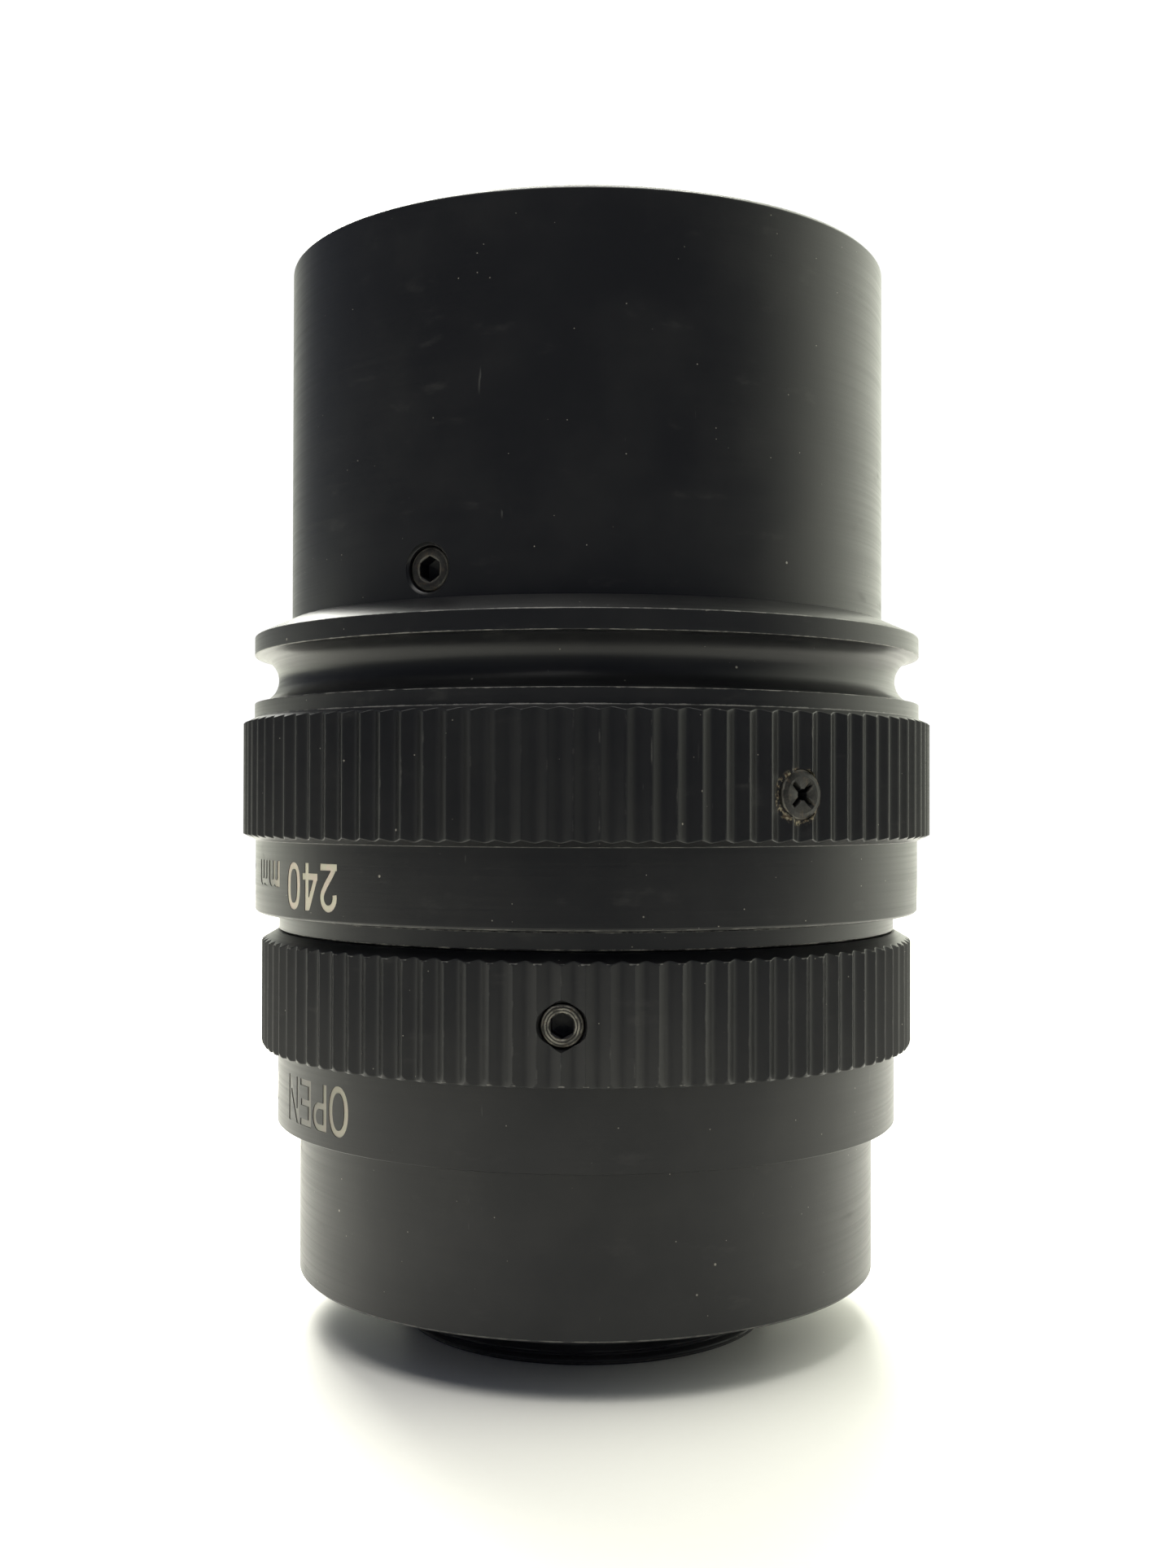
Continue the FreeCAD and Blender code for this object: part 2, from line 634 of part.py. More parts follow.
REAR_LENS_BOTTOM = 8.8


def front_cell():
    return revolved(
        (9.5, FRONT_CELL_BOTTOM),
        (FRONT_CELL_RADIUS, FRONT_CELL_BOTTOM),
        (FRONT_CELL_RADIUS, FRONT_CELL_TOP),
        (FRONT_LENS_RADIUS, FRONT_CELL_TOP),
        (FRONT_LENS_RADIUS, FRONT_SEAT),
        (SECOND_LENS_RADIUS, FRONT_SEAT),
        (SECOND_LENS_RADIUS, SECOND_BORE_BOTTOM),
        (DOUBLET_RADIUS, SECOND_BORE_BOTTOM),
        (DOUBLET_RADIUS, DOUBLET_SEAT),
        (9.5, DOUBLET_SEAT),
    )


def front_lens():
    back_curve = 150.0
    back = FRONT_SEAT + sag(back_curve, FRONT_LENS_RADIUS)
    return lens(FRONT_LENS_TOP, back, FRONT_LENS_RADIUS, FRONT_CURVE, -back_curve)


def front_retaining_ring():
    inner = 14.6
    bottom = FRONT_LENS_TOP - sag(FRONT_CURVE, inner)
    top = 56.3
    ring = revolved(
        (inner, bottom),
        (FRONT_LENS_RADIUS, bottom),
        (FRONT_LENS_RADIUS, top),
        (inner + 0.6, top),
        (inner, top - 0.6),
    )
    return ring.cut(spanner_slots(inner, FRONT_LENS_RADIUS, top, 0.7))


def front_spacer():
    inner = 12.8
    return tube(inner, SECOND_LENS_RADIUS, SECOND_LENS_TOP - sag(SECOND_CURVE, inner), FRONT_SEAT)


def second_lens():
    back_curve = 45.0
    back = SECOND_SEAT + sag(back_curve, SECOND_LENS_RADIUS)
    return lens(SECOND_LENS_TOP, back, SECOND_LENS_RADIUS, SECOND_CURVE, -back_curve)


def second_spacer():
    return tube(12.2, SECOND_LENS_RADIUS, SECOND_BORE_BOTTOM, SECOND_SEAT)


def third_lens():
    return lens(THIRD_LENS_TOP, FRONT_CEMENT_HEIGHT, DOUBLET_RADIUS, THIRD_CURVE, CEMENTED_CURVE)


def fourth_lens():
    back = DOUBLET_SEAT + sag(STOP_SIDE_CURVE, DOUBLET_RADIUS)
    return lens(FRONT_CEMENT_HEIGHT, back, DOUBLET_RADIUS, -CEMENTED_CURVE, -STOP_SIDE_CURVE)


def doublet_retaining_ring():
    inner = 10.6
    ring = tube(inner, DOUBLET_RADIUS, THIRD_LENS_TOP - sag(THIRD_CURVE, inner), SECOND_BORE_BOTTOM)
    return ring.cut(spanner_slots(inner, DOUBLET_RADIUS, SECOND_BORE_BOTTOM, 0.4))


def rear_cell():
    return revolved(
        (REAR_LENS_RADIUS, TUBE_BOTTOM),
        (REAR_CELL_RADIUS, TUBE_BOTTOM),
        (REAR_CELL_RADIUS, REAR_CELL_TOP),
        (8.8, REAR_CELL_TOP),
        (8.8, REAR_SEAT),
        (REAR_LENS_RADIUS, REAR_SEAT),
    )


def fifth_lens():
    top = REAR_SEAT - sag(STOP_SIDE_CURVE, REAR_LENS_RADIUS)
    return lens(top, REAR_CEMENT_HEIGHT, REAR_LENS_RADIUS, -STOP_SIDE_CURVE, -CEMENTED_CURVE)


def sixth_lens():
    return lens(REAR_CEMENT_HEIGHT, SIXTH_LENS_BOTTOM, REAR_LENS_RADIUS, CEMENTED_CURVE, SIXTH_CURVE)


def rear_spacer():
    inner = 10.0
    bottom = REAR_LENS_TOP - sag(REAR_CURVE, inner)
    top = SIXTH_LENS_BOTTOM + sag(SIXTH_CURVE, inner)
    return tube(inner, REAR_LENS_RADIUS, bottom, top)


def rear_lens():
    nearly_flat = 400.0
    return lens(REAR_LENS_TOP, REAR_LENS_BOTTOM, REAR_LENS_RADIUS, REAR_CURVE, -nearly_flat)


def rear_retaining_ring():
    inner = 9.4
    bottom = TUBE_BOTTOM + 0.1
    top = REAR_LENS_BOTTOM - sag(400.0, REAR_LENS_RADIUS)
    slot = radial_block(1.2, inner - 1, REAR_LENS_RADIUS + 1, bottom - 1, bottom + 0.35)
    return tube(inner, REAR_LENS_RADIUS, bottom, top).cut(around(slot, 2, 90))


# ---- iris diaphragm --------------------------------------------------------------
def pivot_point(height):
    return FreeCAD.Vector(PIVOT_CIRCLE, 0, height)


def drive_pin_point(cam_angle, height):
    """Where a blade's drive pin is, for its pivot on the +X axis, when the cam ring has turned by cam_angle."""
    angle = math.radians(PIN_DIRECTION + BLADE_SWING * cam_angle / IRIS_TURN)
    x = PIVOT_CIRCLE + PIN_ARM * math.cos(angle)
    y = PIN_ARM * math.sin(angle)
    return FreeCAD.Vector(x, y, height)


def iris_base_plate():
    plate = tube(8.0, CAVITY_RADIUS, CAVITY_FLOOR, BLADE_BOTTOM - 0.1)
    hole = Part.makeCylinder(PIN_RADIUS + RUNNING_GAP, 3, pivot_point(CAVITY_FLOOR - 1))
    return plate.cut(around(hole, BLADE_COUNT))


def iris_blade(index):
    """Thin crescent with a pivot pin below and a drive pin above, each blade on its own level."""
    bottom = BLADE_BOTTOM + index * BLADE_PITCH
    top = bottom + BLADE_THICKNESS
    pivot = pivot_point(bottom)
    drive = drive_pin_point(0, bottom)
    plate = sector(BLADE_INNER, BLADE_OUTER, bottom, top, BLADE_START + 90, BLADE_END + 90)
    for angle in (BLADE_START, BLADE_END):
        middle = math.radians(angle)
        radius = (BLADE_INNER + BLADE_OUTER) / 2
        place = FreeCAD.Vector(radius * math.cos(middle), radius * math.sin(middle), bottom)
        plate = plate.fuse(Part.makeCylinder((BLADE_OUTER - BLADE_INNER) / 2, BLADE_THICKNESS, place))
    ear = Part.makeCylinder(0.9, BLADE_THICKNESS, pivot)
    ear = ear.fuse(Part.makeCylinder(0.8, BLADE_THICKNESS, drive))
    web = Part.Face(Part.makePolygon([
        FreeCAD.Vector(11.5, -1.4, bottom),
        FreeCAD.Vector(PIVOT_CIRCLE + 0.4, -0.8, bottom),
        FreeCAD.Vector(PIVOT_CIRCLE + 0.88, 0, bottom),
        FreeCAD.Vector(drive.x + 0.75, drive.y, bottom),
        FreeCAD.Vector(drive.x, drive.y + 0.78, bottom),
        FreeCAD.Vector(10.8, 4.6, bottom),
        FreeCAD.Vector(11.5, -1.4, bottom),
    ])).extrude(FreeCAD.Vector(0, 0, BLADE_THICKNESS))
    pivot_pin = Part.makeCylinder(PIN_RADIUS, bottom - CAVITY_FLOOR - 0.1, pivot_point(CAVITY_FLOOR + 0.1))
    drive_pin = Part.makeCylinder(PIN_RADIUS, CAM_TOP - 0.5 - bottom, drive)
    blade = plate.fuse([ear, web, pivot_pin, drive_pin]).removeSplitter()
    return turned(blade, 360.0 * index / BLADE_COUNT)


def cam_slot():
    """Slot that turns the cam ring's motion into a blade's swing at a constant ratio."""
    half_width = PIN_RADIUS + RUNNING_GAP
    spare_angle = 0.6
    steps = 12
    middle = []
    for i in range(steps + 1):
        cam_angle = -spare_angle + (IRIS_TURN + 2 * spare_angle) * i / steps
        point = drive_pin_point(cam_angle, CAM_BOTTOM - 1)
        point = FreeCAD.Rotation(AXIS, -cam_angle).multVec(point)
        middle.append(point)
    path = Part.BSplineCurve()
    path.interpolate(middle)
    sides = []
    for sign in (1, -1):
        points = []
        for i in range(steps + 1):
            value = path.FirstParameter + (path.LastParameter - path.FirstParameter) * i / steps
            tangent = path.tangent(value)[0]
            points.append(path.value(value) + tangent.cross(AXIS).normalize() * half_width * sign)
        side = Part.BSplineCurve()
        side.interpolate(points)
        sides.append((side, points))
    start_tangent = path.tangent(path.FirstParameter)[0]
    end_tangent = path.tangent(path.LastParameter)[0]
    near = Part.Arc(sides[1][1][0], middle[0] - start_tangent * half_width, sides[0][1][0])
    far = Part.Arc(sides[0][1][-1], middle[-1] + end_tangent * half_width, sides[1][1][-1])
    edges = [sides[0][0].toShape(), far.toShape(), sides[1][0].toShape(), near.toShape()]
    outline = Part.Wire(Part.sortEdges(edges)[0])
    return Part.Face(outline).extrude(FreeCAD.Vector(0, 0, CAM_TOP - CAM_BOTTOM + 2))


FORK_FOOT_INNER = 10.6
FORK_FOOT_BOTTOM = 24.6
FORK_SCREW_CIRCLE = 11.6
FORK_SCREW_BEARINGS = (-3.0, 3.0)


def fork_screw_points():
    points = []
    for bearing in FORK_SCREW_BEARINGS:
        angle = math.radians(DRIVE_BEARING + bearing)
        points.append((FORK_SCREW_CIRCLE * math.sin(angle), -FORK_SCREW_CIRCLE * math.cos(angle)))
    return points


def iris_cam_ring():
    ring = tube(BLADE_INNER, CAVITY_RADIUS - 2 * RUNNING_GAP, CAM_BOTTOM, CAM_TOP)
    recess = sector(
        FORK_FOOT_INNER, 18, FORK_FOOT_BOTTOM, CAM_TOP + 1,
        DRIVE_BEARING - FORK_HALF_ANGLE, DRIVE_BEARING + FORK_HALF_ANGLE)
    cuts = around(cam_slot(), BLADE_COUNT) + [recess]
    for x, y in fork_screw_points():
        cuts.append(Part.makeCylinder(0.4, 2, FreeCAD.Vector(x, y, CAM_BOTTOM - 0.5)))
    return ring.cut(cuts)


def iris_fork():
    """Bracket on the cam ring, whose two prongs straddle the drive pin while the optics slide past it."""
    arm_inner = 16.3
    arm_outer = 17.1
    first = DRIVE_BEARING - FORK_HALF_ANGLE
    last = DRIVE_BEARING + FORK_HALF_ANGLE
    foot = sector(FORK_FOOT_INNER, arm_outer, FORK_FOOT_BOTTOM, CAM_TOP, first, last)
    arm_bottom = DRIVE_HEIGHT - FOCUS_TRAVEL - 1.2
    arm = sector(arm_inner, arm_outer, arm_bottom, CAM_TOP, first, last)
    slot = radial_block(
        2 * (DRIVE_PIN_RADIUS + RUNNING_GAP), arm_inner - 0.3, 18, arm_bottom - 1, DRIVE_HEIGHT + 1.0)
    cuts = [turned(slot, DRIVE_BEARING)]
    for x, y in fork_screw_points():
        cuts.append(Part.makeCylinder(0.4, 2, FreeCAD.Vector(x, y, FORK_FOOT_BOTTOM - 0.5)))
    return foot.fuse(arm).cut(cuts).removeSplitter()


def iris_fork_screws():
    screws = []
    for x, y in fork_screw_points():
        shank = Part.makeCylinder(0.4, 0.9, FreeCAD.Vector(x, y, CAM_BOTTOM + 0.1))
        head = Part.makeCylinder(0.55, 0.35, FreeCAD.Vector(x, y, CAM_TOP))
        slot = Part.makeBox(0.18, 2, 1, FreeCAD.Vector(x - 0.09, y - 1, CAM_TOP + 0.17))
        screws.append(shank.fuse(head).cut(slot))
    return Part.makeCompound(screws)


def iris_retaining_ring():
    bottom = CAM_TOP + 0.1
    top = bottom + 1.0
    return tube(13.0, CAVITY_RADIUS, bottom, top).cut(spanner_slots(13.0, CAVITY_RADIUS, top, 0.5))


# ---- write every node ------------------------------------------------------------
save(c_mount_ring(), "c_mount_ring")
save(mount_shim(), "mount_shim")
save(mount_screws(), "mount_screws")
save(rear_barrel(), "rear_barrel")
save(center_sleeve(), "center_sleeve")
save(sleeve_set_screws(), "sleeve_set_screws")
save(guide_keys(), "guide_keys")
save(guide_key_screws(), "guide_key_screws")
save(focus_retaining_ring(), "focus_retaining_ring")
save(iris_ring(), "iris_ring")
save(iris_drive_screw(), "iris_drive_screw")
save(iris_lock_pad(), "iris_lock_pad")
save(iris_lock_screw(), "iris_lock_screw")
save(focus_ring(), "focus_ring")
save(helicoid_nut(), "helicoid_nut")
save(focus_ring_screws(), "focus_ring_screws")
save(focus_stop_pin(), "focus_stop_pin")
save(lens_tube(), "lens_tube")
save(front_barrel(), "front_barrel")
save(front_barrel_set_screws(), "front_barrel_set_screws")
save(front_trim_ring(), "front_trim_ring")
save(front_cell(), "front_cell")
save(front_lens(), "front_lens")
save(front_retaining_ring(), "front_retaining_ring")
save(front_spacer(), "front_spacer")
save(second_lens(), "second_lens")
save(second_spacer(), "second_spacer")
save(third_lens(), "third_lens")
save(fourth_lens(), "fourth_lens")
save(doublet_retaining_ring(), "doublet_retaining_ring")
save(rear_cell(), "rear_cell")
save(fifth_lens(), "fifth_lens")
save(sixth_lens(), "sixth_lens")
save(rear_spacer(), "rear_spacer")
save(rear_lens(), "rear_lens")
save(rear_retaining_ring(), "rear_retaining_ring")
save(iris_base_plate(), "iris_base_plate")
save(iris_cam_ring(), "iris_cam_ring")
save(iris_fork(), "iris_fork")
save(iris_fork_screws(), "iris_fork_screws")
save(iris_retaining_ring(), "iris_retaining_ring")
for blade_index in range(BLADE_COUNT):
    save(iris_blade(blade_index), "iris_blade_" + str(blade_index + 1))
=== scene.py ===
"""Looks for a C-mount camera lens that stands on its mount thread.

Lengths are in millimetres, as in the solids, until a point becomes a vertex; then they are metres.
A bearing is in degrees about +Z, from the -Y side towards +X.
"""

import json
import math
from functools import lru_cache

import bmesh
import bpy
from mathutils import Matrix, Vector


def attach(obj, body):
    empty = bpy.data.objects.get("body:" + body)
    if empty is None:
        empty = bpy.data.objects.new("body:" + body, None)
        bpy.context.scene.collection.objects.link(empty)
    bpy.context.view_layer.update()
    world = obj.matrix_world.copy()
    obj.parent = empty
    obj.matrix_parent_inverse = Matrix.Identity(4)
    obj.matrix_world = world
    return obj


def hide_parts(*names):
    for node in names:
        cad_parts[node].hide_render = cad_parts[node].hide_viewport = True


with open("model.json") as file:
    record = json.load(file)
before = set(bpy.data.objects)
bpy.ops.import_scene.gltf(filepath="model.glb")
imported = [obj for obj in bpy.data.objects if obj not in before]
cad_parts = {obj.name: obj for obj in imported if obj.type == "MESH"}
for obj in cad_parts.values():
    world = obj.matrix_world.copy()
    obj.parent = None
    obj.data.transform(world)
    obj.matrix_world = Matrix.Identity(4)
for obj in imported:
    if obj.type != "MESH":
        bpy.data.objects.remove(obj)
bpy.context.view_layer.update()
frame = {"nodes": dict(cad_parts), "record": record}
nodes = frame["nodes"]

MM = 0.001

# ---- sizes that the visible shapes share with the solids -------------------------
TOTAL_HEIGHT = 72.0
BARREL_RADIUS = 20.53
BARREL_BOTTOM = 42.0
TUBE_NECK_RADIUS = 19.0
HOOD_BOTTOM = 57.2
HOOD_BORE = 18.9
HOOD_RIB_BORE = 18.55
RIB_COUNT = 13
FILTER_THREAD_RADIUS = 19.23
FILTER_THREAD_BOTTOM = 68.8
BARREL_SCREW_HEIGHT = 49.6
BARREL_SCREW_FACE = 20.25
BARREL_SCREW_BEARINGS = (-27.9, 92.1, 212.1)

FLANGE_RADIUS = 23.04
GROOVE_RADIUS = 21.42
GROOVE_BOTTOM = 42.2
GROOVE_TOP = 45.47
FOCUS_RING_BOTTOM = 28.15
FOCUS_BAND_TOP = 33.0
FOCUS_FLUTES_END = 41.2
FOCUS_KNURL_RADIUS = 23.78
FOCUS_KNURL_BOTTOM = 33.4
FOCUS_KNURL_TOP = 40.85
FOCUS_BAND_RADIUS = 22.94
FOCUS_FLUTE_DEPTH = 0.38
FOCUS_RIDGE_SHARE = 0.5
FOCUS_SCREW_HEIGHT = 36.05
FOCUS_SCREW_SEAT = 22.45
FOCUS_SCREW_FACE = 23.70
FOCUS_SCREW_BEARINGS = (32.6, 152.6, 272.6)
FOCUS_TURN = 160.0

IRIS_KNURL_RADIUS = 22.5
IRIS_BAND_RADIUS = 21.4
IRIS_BAND_TOP = 19.1
IRIS_RING_BOTTOM = 13.95
IRIS_RING_TOP = 26.85
IRIS_FLUTE_DEPTH = 0.36
IRIS_RIDGE_SHARE = 0.0
IRIS_TURN = 60.0
LOCK_BEARING = -3.5
LOCK_HEIGHT = 22.7
LOCK_FACE = 22.35
DRIVE_BEARING = 150.0
DRIVE_HEIGHT = 20.8

REAR_RADIUS = 19.86
SPACER_RADIUS = 21.35
MOUNT_THREAD_RADIUS = 12.7
MOUNT_THREAD_TOP = 3.2
MOUNT_RELIEF_RADIUS = 12.1
SHOULDER_HEIGHT = 3.7
MOUNT_FLANGE_RADIUS = 17.0
MOUNT_FLANGE_TOP = 5.5
MOUNT_BORE = 10.0
MOUNT_SCREW_CIRCLE = 14.9
MOUNT_SCREW_BEARINGS = (60.0, 180.0, 300.0)
FLUTE_COUNT = 100


# ---- node trees ------------------------------------------------------------------
class Shader:
    """Short calls for one material's nodes. Positions are object coordinates in millimetres."""

    def __init__(self, name):
        self.material = bpy.data.materials.new(name)
        self.material.use_nodes = True
        self.tree = self.material.node_tree
        self.surface = self.tree.nodes["Principled BSDF"]
        coordinates = self.node("ShaderNodeTexCoord").outputs["Object"]
        self.point = self.scaled(coordinates, (1000, 1000, 1000))
        flat = self.scaled(self.point, (1, 1, 0))
        self.radius = self.node("ShaderNodeVectorMath", {0: flat}, operation="LENGTH").outputs["Value"]
        self.height = self.node("ShaderNodeSeparateXYZ", {0: self.point}).outputs["Z"]

    def node(self, kind, inputs=None, **settings):
        made = self.tree.nodes.new(kind)
        for name, value in settings.items():
            setattr(made, name, value)
        for socket, value in (inputs or {}).items():
            self.put(made.inputs[socket], value)
        return made

    def put(self, socket, value):
        if isinstance(value, bpy.types.NodeSocket):
            self.tree.links.new(value, socket)
        else:
            socket.default_value = value

    def set(self, **values):
        """Sets the surface shader's sockets; an underscore stands for a space."""
        for name, value in values.items():
            self.put(self.surface.inputs[name.replace("_", " ")], value)

    def scaled(self, vector, factors):
        return self.node("ShaderNodeVectorMath", {0: vector, 1: factors}, operation="MULTIPLY").outputs[0]

    def math(self, operation, first, second=0.0):
        return self.node("ShaderNodeMath", {0: first, 1: second}, operation=operation).outputs[0]

    def ramp(self, value, low, high, start=0.0, end=1.0):
        """Smooth step of value from low to high."""
        inputs = {"Value": value, "From Min": low, "From Max": high, "To Min": start, "To Max": end}
        return self.node("ShaderNodeMapRange", inputs, interpolation_type="SMOOTHSTEP").outputs["Result"]

    def noise(self, vector, scale, detail=2.0, roughness=0.5):
        inputs = {"Vector": vector, "Scale": scale, "Detail": detail, "Roughness": roughness}
        return self.node("ShaderNodeTexNoise", inputs).outputs[0]

    def mixed(self, amount, first, second):
        mix = self.node("ShaderNodeMix", data_type="RGBA")
        self.put(mix.inputs["Factor"], amount)
        self.put(mix.inputs["A"], first)
        self.put(mix.inputs["B"], second)
        return mix.outputs["Result"]

    def largest(self, values):
        result = values[0]
        for value in values[1:]:
            result = self.math("MAXIMUM", result, value)
        return result

    def distance_to(self, bearing, radius, height):
        """Distance from a point on the object, in millimetres."""
        place = bearing_point(bearing, radius, height) / MM
        inputs = {0: self.point, 1: place}
        return self.node("ShaderNodeVectorMath", inputs, operation="DISTANCE").outputs["Value"]

    def edge_distance(self, radius, height):
        """Distance from a turned edge, a circle about the lens's axis."""
        across = self.math("SUBTRACT", self.radius, radius)
        along = self.math("SUBTRACT", self.height, height)
        squares = self.math("ADD", self.math("MULTIPLY", across, across), self.math("MULTIPLY", along, along))
        return self.math("SQRT", squares)

    def bump(self, height, depth_mm):
        inputs = {"Height": height, "Distance": depth_mm * MM, "Strength": 1.0}
        return self.node("ShaderNodeBump", inputs).outputs[0]

    def specks(self, density, size, share):
        """Sparse round dust specks: one cell in a few holds one."""
        cells = self.node("ShaderNodeTexVoronoi", {"Vector": self.point, "Scale": density})
        inside = self.ramp(cells.outputs["Distance"], size * density, size * density * 0.5)
        chosen = self.node("ShaderNodeSeparateColor", {0: cells.outputs["Color"]}).outputs[0]
        return self.math("MULTIPLY", inside, self.math("GREATER_THAN", chosen, 1 - share))


def bearing_point(bearing, radius, height):
    """A point of the object, in metres."""
    angle = math.radians(bearing)
    return Vector((radius * math.sin(angle), -radius * math.cos(angle), height)) * MM


ANODISED_IOR = 1.34
RESIDUE_RING = 1.56


def anodised(name, shade=0.010, gloss=0.36, edges=(), ridge=None, dust=0.05, residue=None):
    """Satin black anodised aluminium. edges are worn circles (radius, height, width). ridge is the radius
    that only the tips of the flutes reach. residue is the (bearing, radius, height) of a screw with dirt
    round its head."""
    s = Shader(name)
    blotch = s.noise(s.point, 0.16, 3)
    grain = s.noise(s.point, 11, 3, 0.6)
    turning = s.noise(s.scaled(s.point, (0.05, 0.05, 6.0)), 1.0, 3, 0.55)
    scuffs = s.ramp(s.noise(s.scaled(s.point, (0.35, 0.35, 0.9)), 0.7, 4, 0.6), 0.60, 0.78)
    hairs = s.ramp(s.noise(s.scaled(s.point, (3.2, 3.2, 0.35)), 1.0, 2, 0.4), 0.735, 0.76)
    hairs = s.math("MULTIPLY", hairs, s.ramp(s.noise(s.point, 0.45, 1), 0.55, 0.7))
    specks = s.math("MAXIMUM", s.specks(0.9, 0.10, dust), s.specks(2.6, 0.045, dust * 1.4))

    black = (shade, shade * 1.02, shade * 1.15, 1)
    greyer = (shade * 1.7, shade * 1.7, shade * 1.75, 1)
    colour = s.mixed(s.ramp(blotch, 0.35, 0.75), black, greyer)
    colour = s.mixed(s.math("MULTIPLY", scuffs, 0.30), colour, (0.045, 0.044, 0.042, 1))
    colour = s.mixed(s.math("MULTIPLY", hairs, 0.35), colour, (0.12, 0.118, 0.11, 1))
    colour = s.mixed(s.math("MULTIPLY", specks, 0.75), colour, (0.32, 0.30, 0.26, 1))
    roughness = s.math("ADD", gloss, s.math("MULTIPLY", s.math("SUBTRACT", turning, 0.5), 0.16))
    roughness = s.math("ADD", roughness, s.math("MULTIPLY", scuffs, 0.10))
    roughness = s.math("ADD", roughness, s.math("MULTIPLY", specks, 0.3))

    worn = []
    rubbed = s.noise(s.point, 1.1, 4, 0.7)
    for radius, height, width in edges:
        reach = s.math("MULTIPLY", s.ramp(rubbed, 0.30, 0.72), width)
        near = s.math("SUBTRACT", reach, s.edge_distance(radius, height))
        worn.append(s.ramp(near, -0.02, 0.03))
    if ridge:
        along = s.noise(s.scaled(s.point, (1.3, 1.3, 0.8)), 1.0, 4, 0.65)
        tip = s.ramp(s.radius, ridge - 0.035, ridge - 0.005)
        worn.append(s.math("MULTIPLY", tip, s.ramp(along, 0.52, 0.74, 0.0, 0.32)))
    if worn:
        amount = s.math("MULTIPLY", s.largest(worn), 0.8)
        colour = s.mixed(amount, colour, (0.17, 0.165, 0.152, 1))
        roughness = s.math("ADD", roughness, s.math("MULTIPLY", amount, 0.08))
    if residue:
        off = s.math("ABSOLUTE", s.math("SUBTRACT", s.distance_to(*residue), RESIDUE_RING))
        beside = s.ramp(off, 0.26, 0.05)
        crumbs = s.math("MULTIPLY", beside, s.ramp(s.noise(s.point, 2.4, 5, 0.75), 0.48, 0.55))
        paler = s.ramp(s.noise(s.point, 6, 2), 0.4, 0.6)
        tint = s.mixed(paler, (0.055, 0.035, 0.02, 1), (0.24, 0.21, 0.14, 1))
        colour = s.mixed(s.math("MULTIPLY", crumbs, 0.9), colour, tint)
        roughness = s.math("ADD", roughness, s.math("MULTIPLY", crumbs, 0.25))
    relief = s.math("ADD", s.math("MULTIPLY", grain, 0.45), s.math("MULTIPLY", turning, 0.55))
    relief = s.math("ADD", relief, specks)
    s.set(Base_Color=colour, Roughness=roughness, Normal=s.bump(relief, 0.006))
    s.set(IOR=ANODISED_IOR)
    return s.material


def turned_metal(name, tint, dark, gloss=0.3):
    """Bare turned metal with fine rings and darker grease in patches."""
    s = Shader(name)
    rings = s.noise(s.scaled(s.point, (0.1, 0.1, 9.0)), 1.0, 3, 0.6)
    patch = s.ramp(s.noise(s.point, 0.5, 4, 0.6), 0.45, 0.7)
    colour = s.mixed(s.math("MULTIPLY", patch, 0.6), tint, dark)
    roughness = s.math("ADD", gloss, s.math("MULTIPLY", rings, 0.2))
    s.set(Base_Color=colour, Roughness=roughness, Metallic=1.0, Normal=s.bump(rings, 0.004))
    return s.material


RECESS_DEPTH = 1.0


def screw_steel(name, centres, face, worn_radii, wear, socket=0.0):
    """Blackened steel whose black has rubbed off in thin rings round each screw's axis.

    centres are (bearing, height) pairs, face is the lens radius at the screw's face, and worn_radii are
    the rings' own radii. The recess, whose mouth has the radius socket, is painted nearly black: painted
    shade."""
    s = Shader(name)
    rubbed = s.noise(s.point, 2.6, 4, 0.7)
    rings = []
    recess_shade = []
    for bearing, height in centres:
        reach = s.distance_to(bearing, face, height)
        deep = s.distance_to(bearing, face - RECESS_DEPTH, height)
        mouth = math.hypot(RECESS_DEPTH, socket)
        recess_shade.append(s.ramp(deep, mouth + 0.03, mouth - 0.03))
        wobble = s.math("MULTIPLY", s.math("SUBTRACT", rubbed, 0.5), 0.16)
        reach = s.math("ADD", reach, wobble)
        for radius in worn_radii:
            off = s.math("ABSOLUTE", s.math("SUBTRACT", reach, radius))
            rings.append(s.ramp(off, 0.07, 0.015))
    amount = s.math("MULTIPLY", s.largest(rings), s.ramp(s.noise(s.point, 1.3, 3), 0.36, 0.62, 0.15, wear))
    colour = s.mixed(s.ramp(rubbed, 0.4, 0.7), (0.008, 0.0075, 0.007, 1), (0.022, 0.020, 0.017, 1))
    colour = s.mixed(amount, colour, (0.27, 0.255, 0.215, 1))
    grime = s.ramp(s.noise(s.point, 2.1, 3, 0.6), 0.56, 0.72)
    colour = s.mixed(s.math("MULTIPLY", grime, 0.5), colour, (0.07, 0.045, 0.025, 1))
    # Painted shade: the inside of each recess is painted nearly black.
    colour = s.mixed(s.largest(recess_shade), colour, (0.003, 0.003, 0.004, 1))
    roughness = s.math("ADD", 0.36, s.math("MULTIPLY", s.math("SUBTRACT", 1.0, amount), 0.12))
    s.set(Base_Color=colour, Roughness=roughness, Metallic=s.math("MULTIPLY", amount, 0.5))
    s.set(Normal=s.bump(s.noise(s.point, 12, 3, 0.6), 0.012), IOR=ANODISED_IOR)
    return s.material


# Where paint is rubbed off: bearing, radius, height and how far round it.
PAINT_RUBBED_AT = ((-64.0, 21.4, 16.3, 11.5), (-66.5, 22.9, 30.5, 4.6))


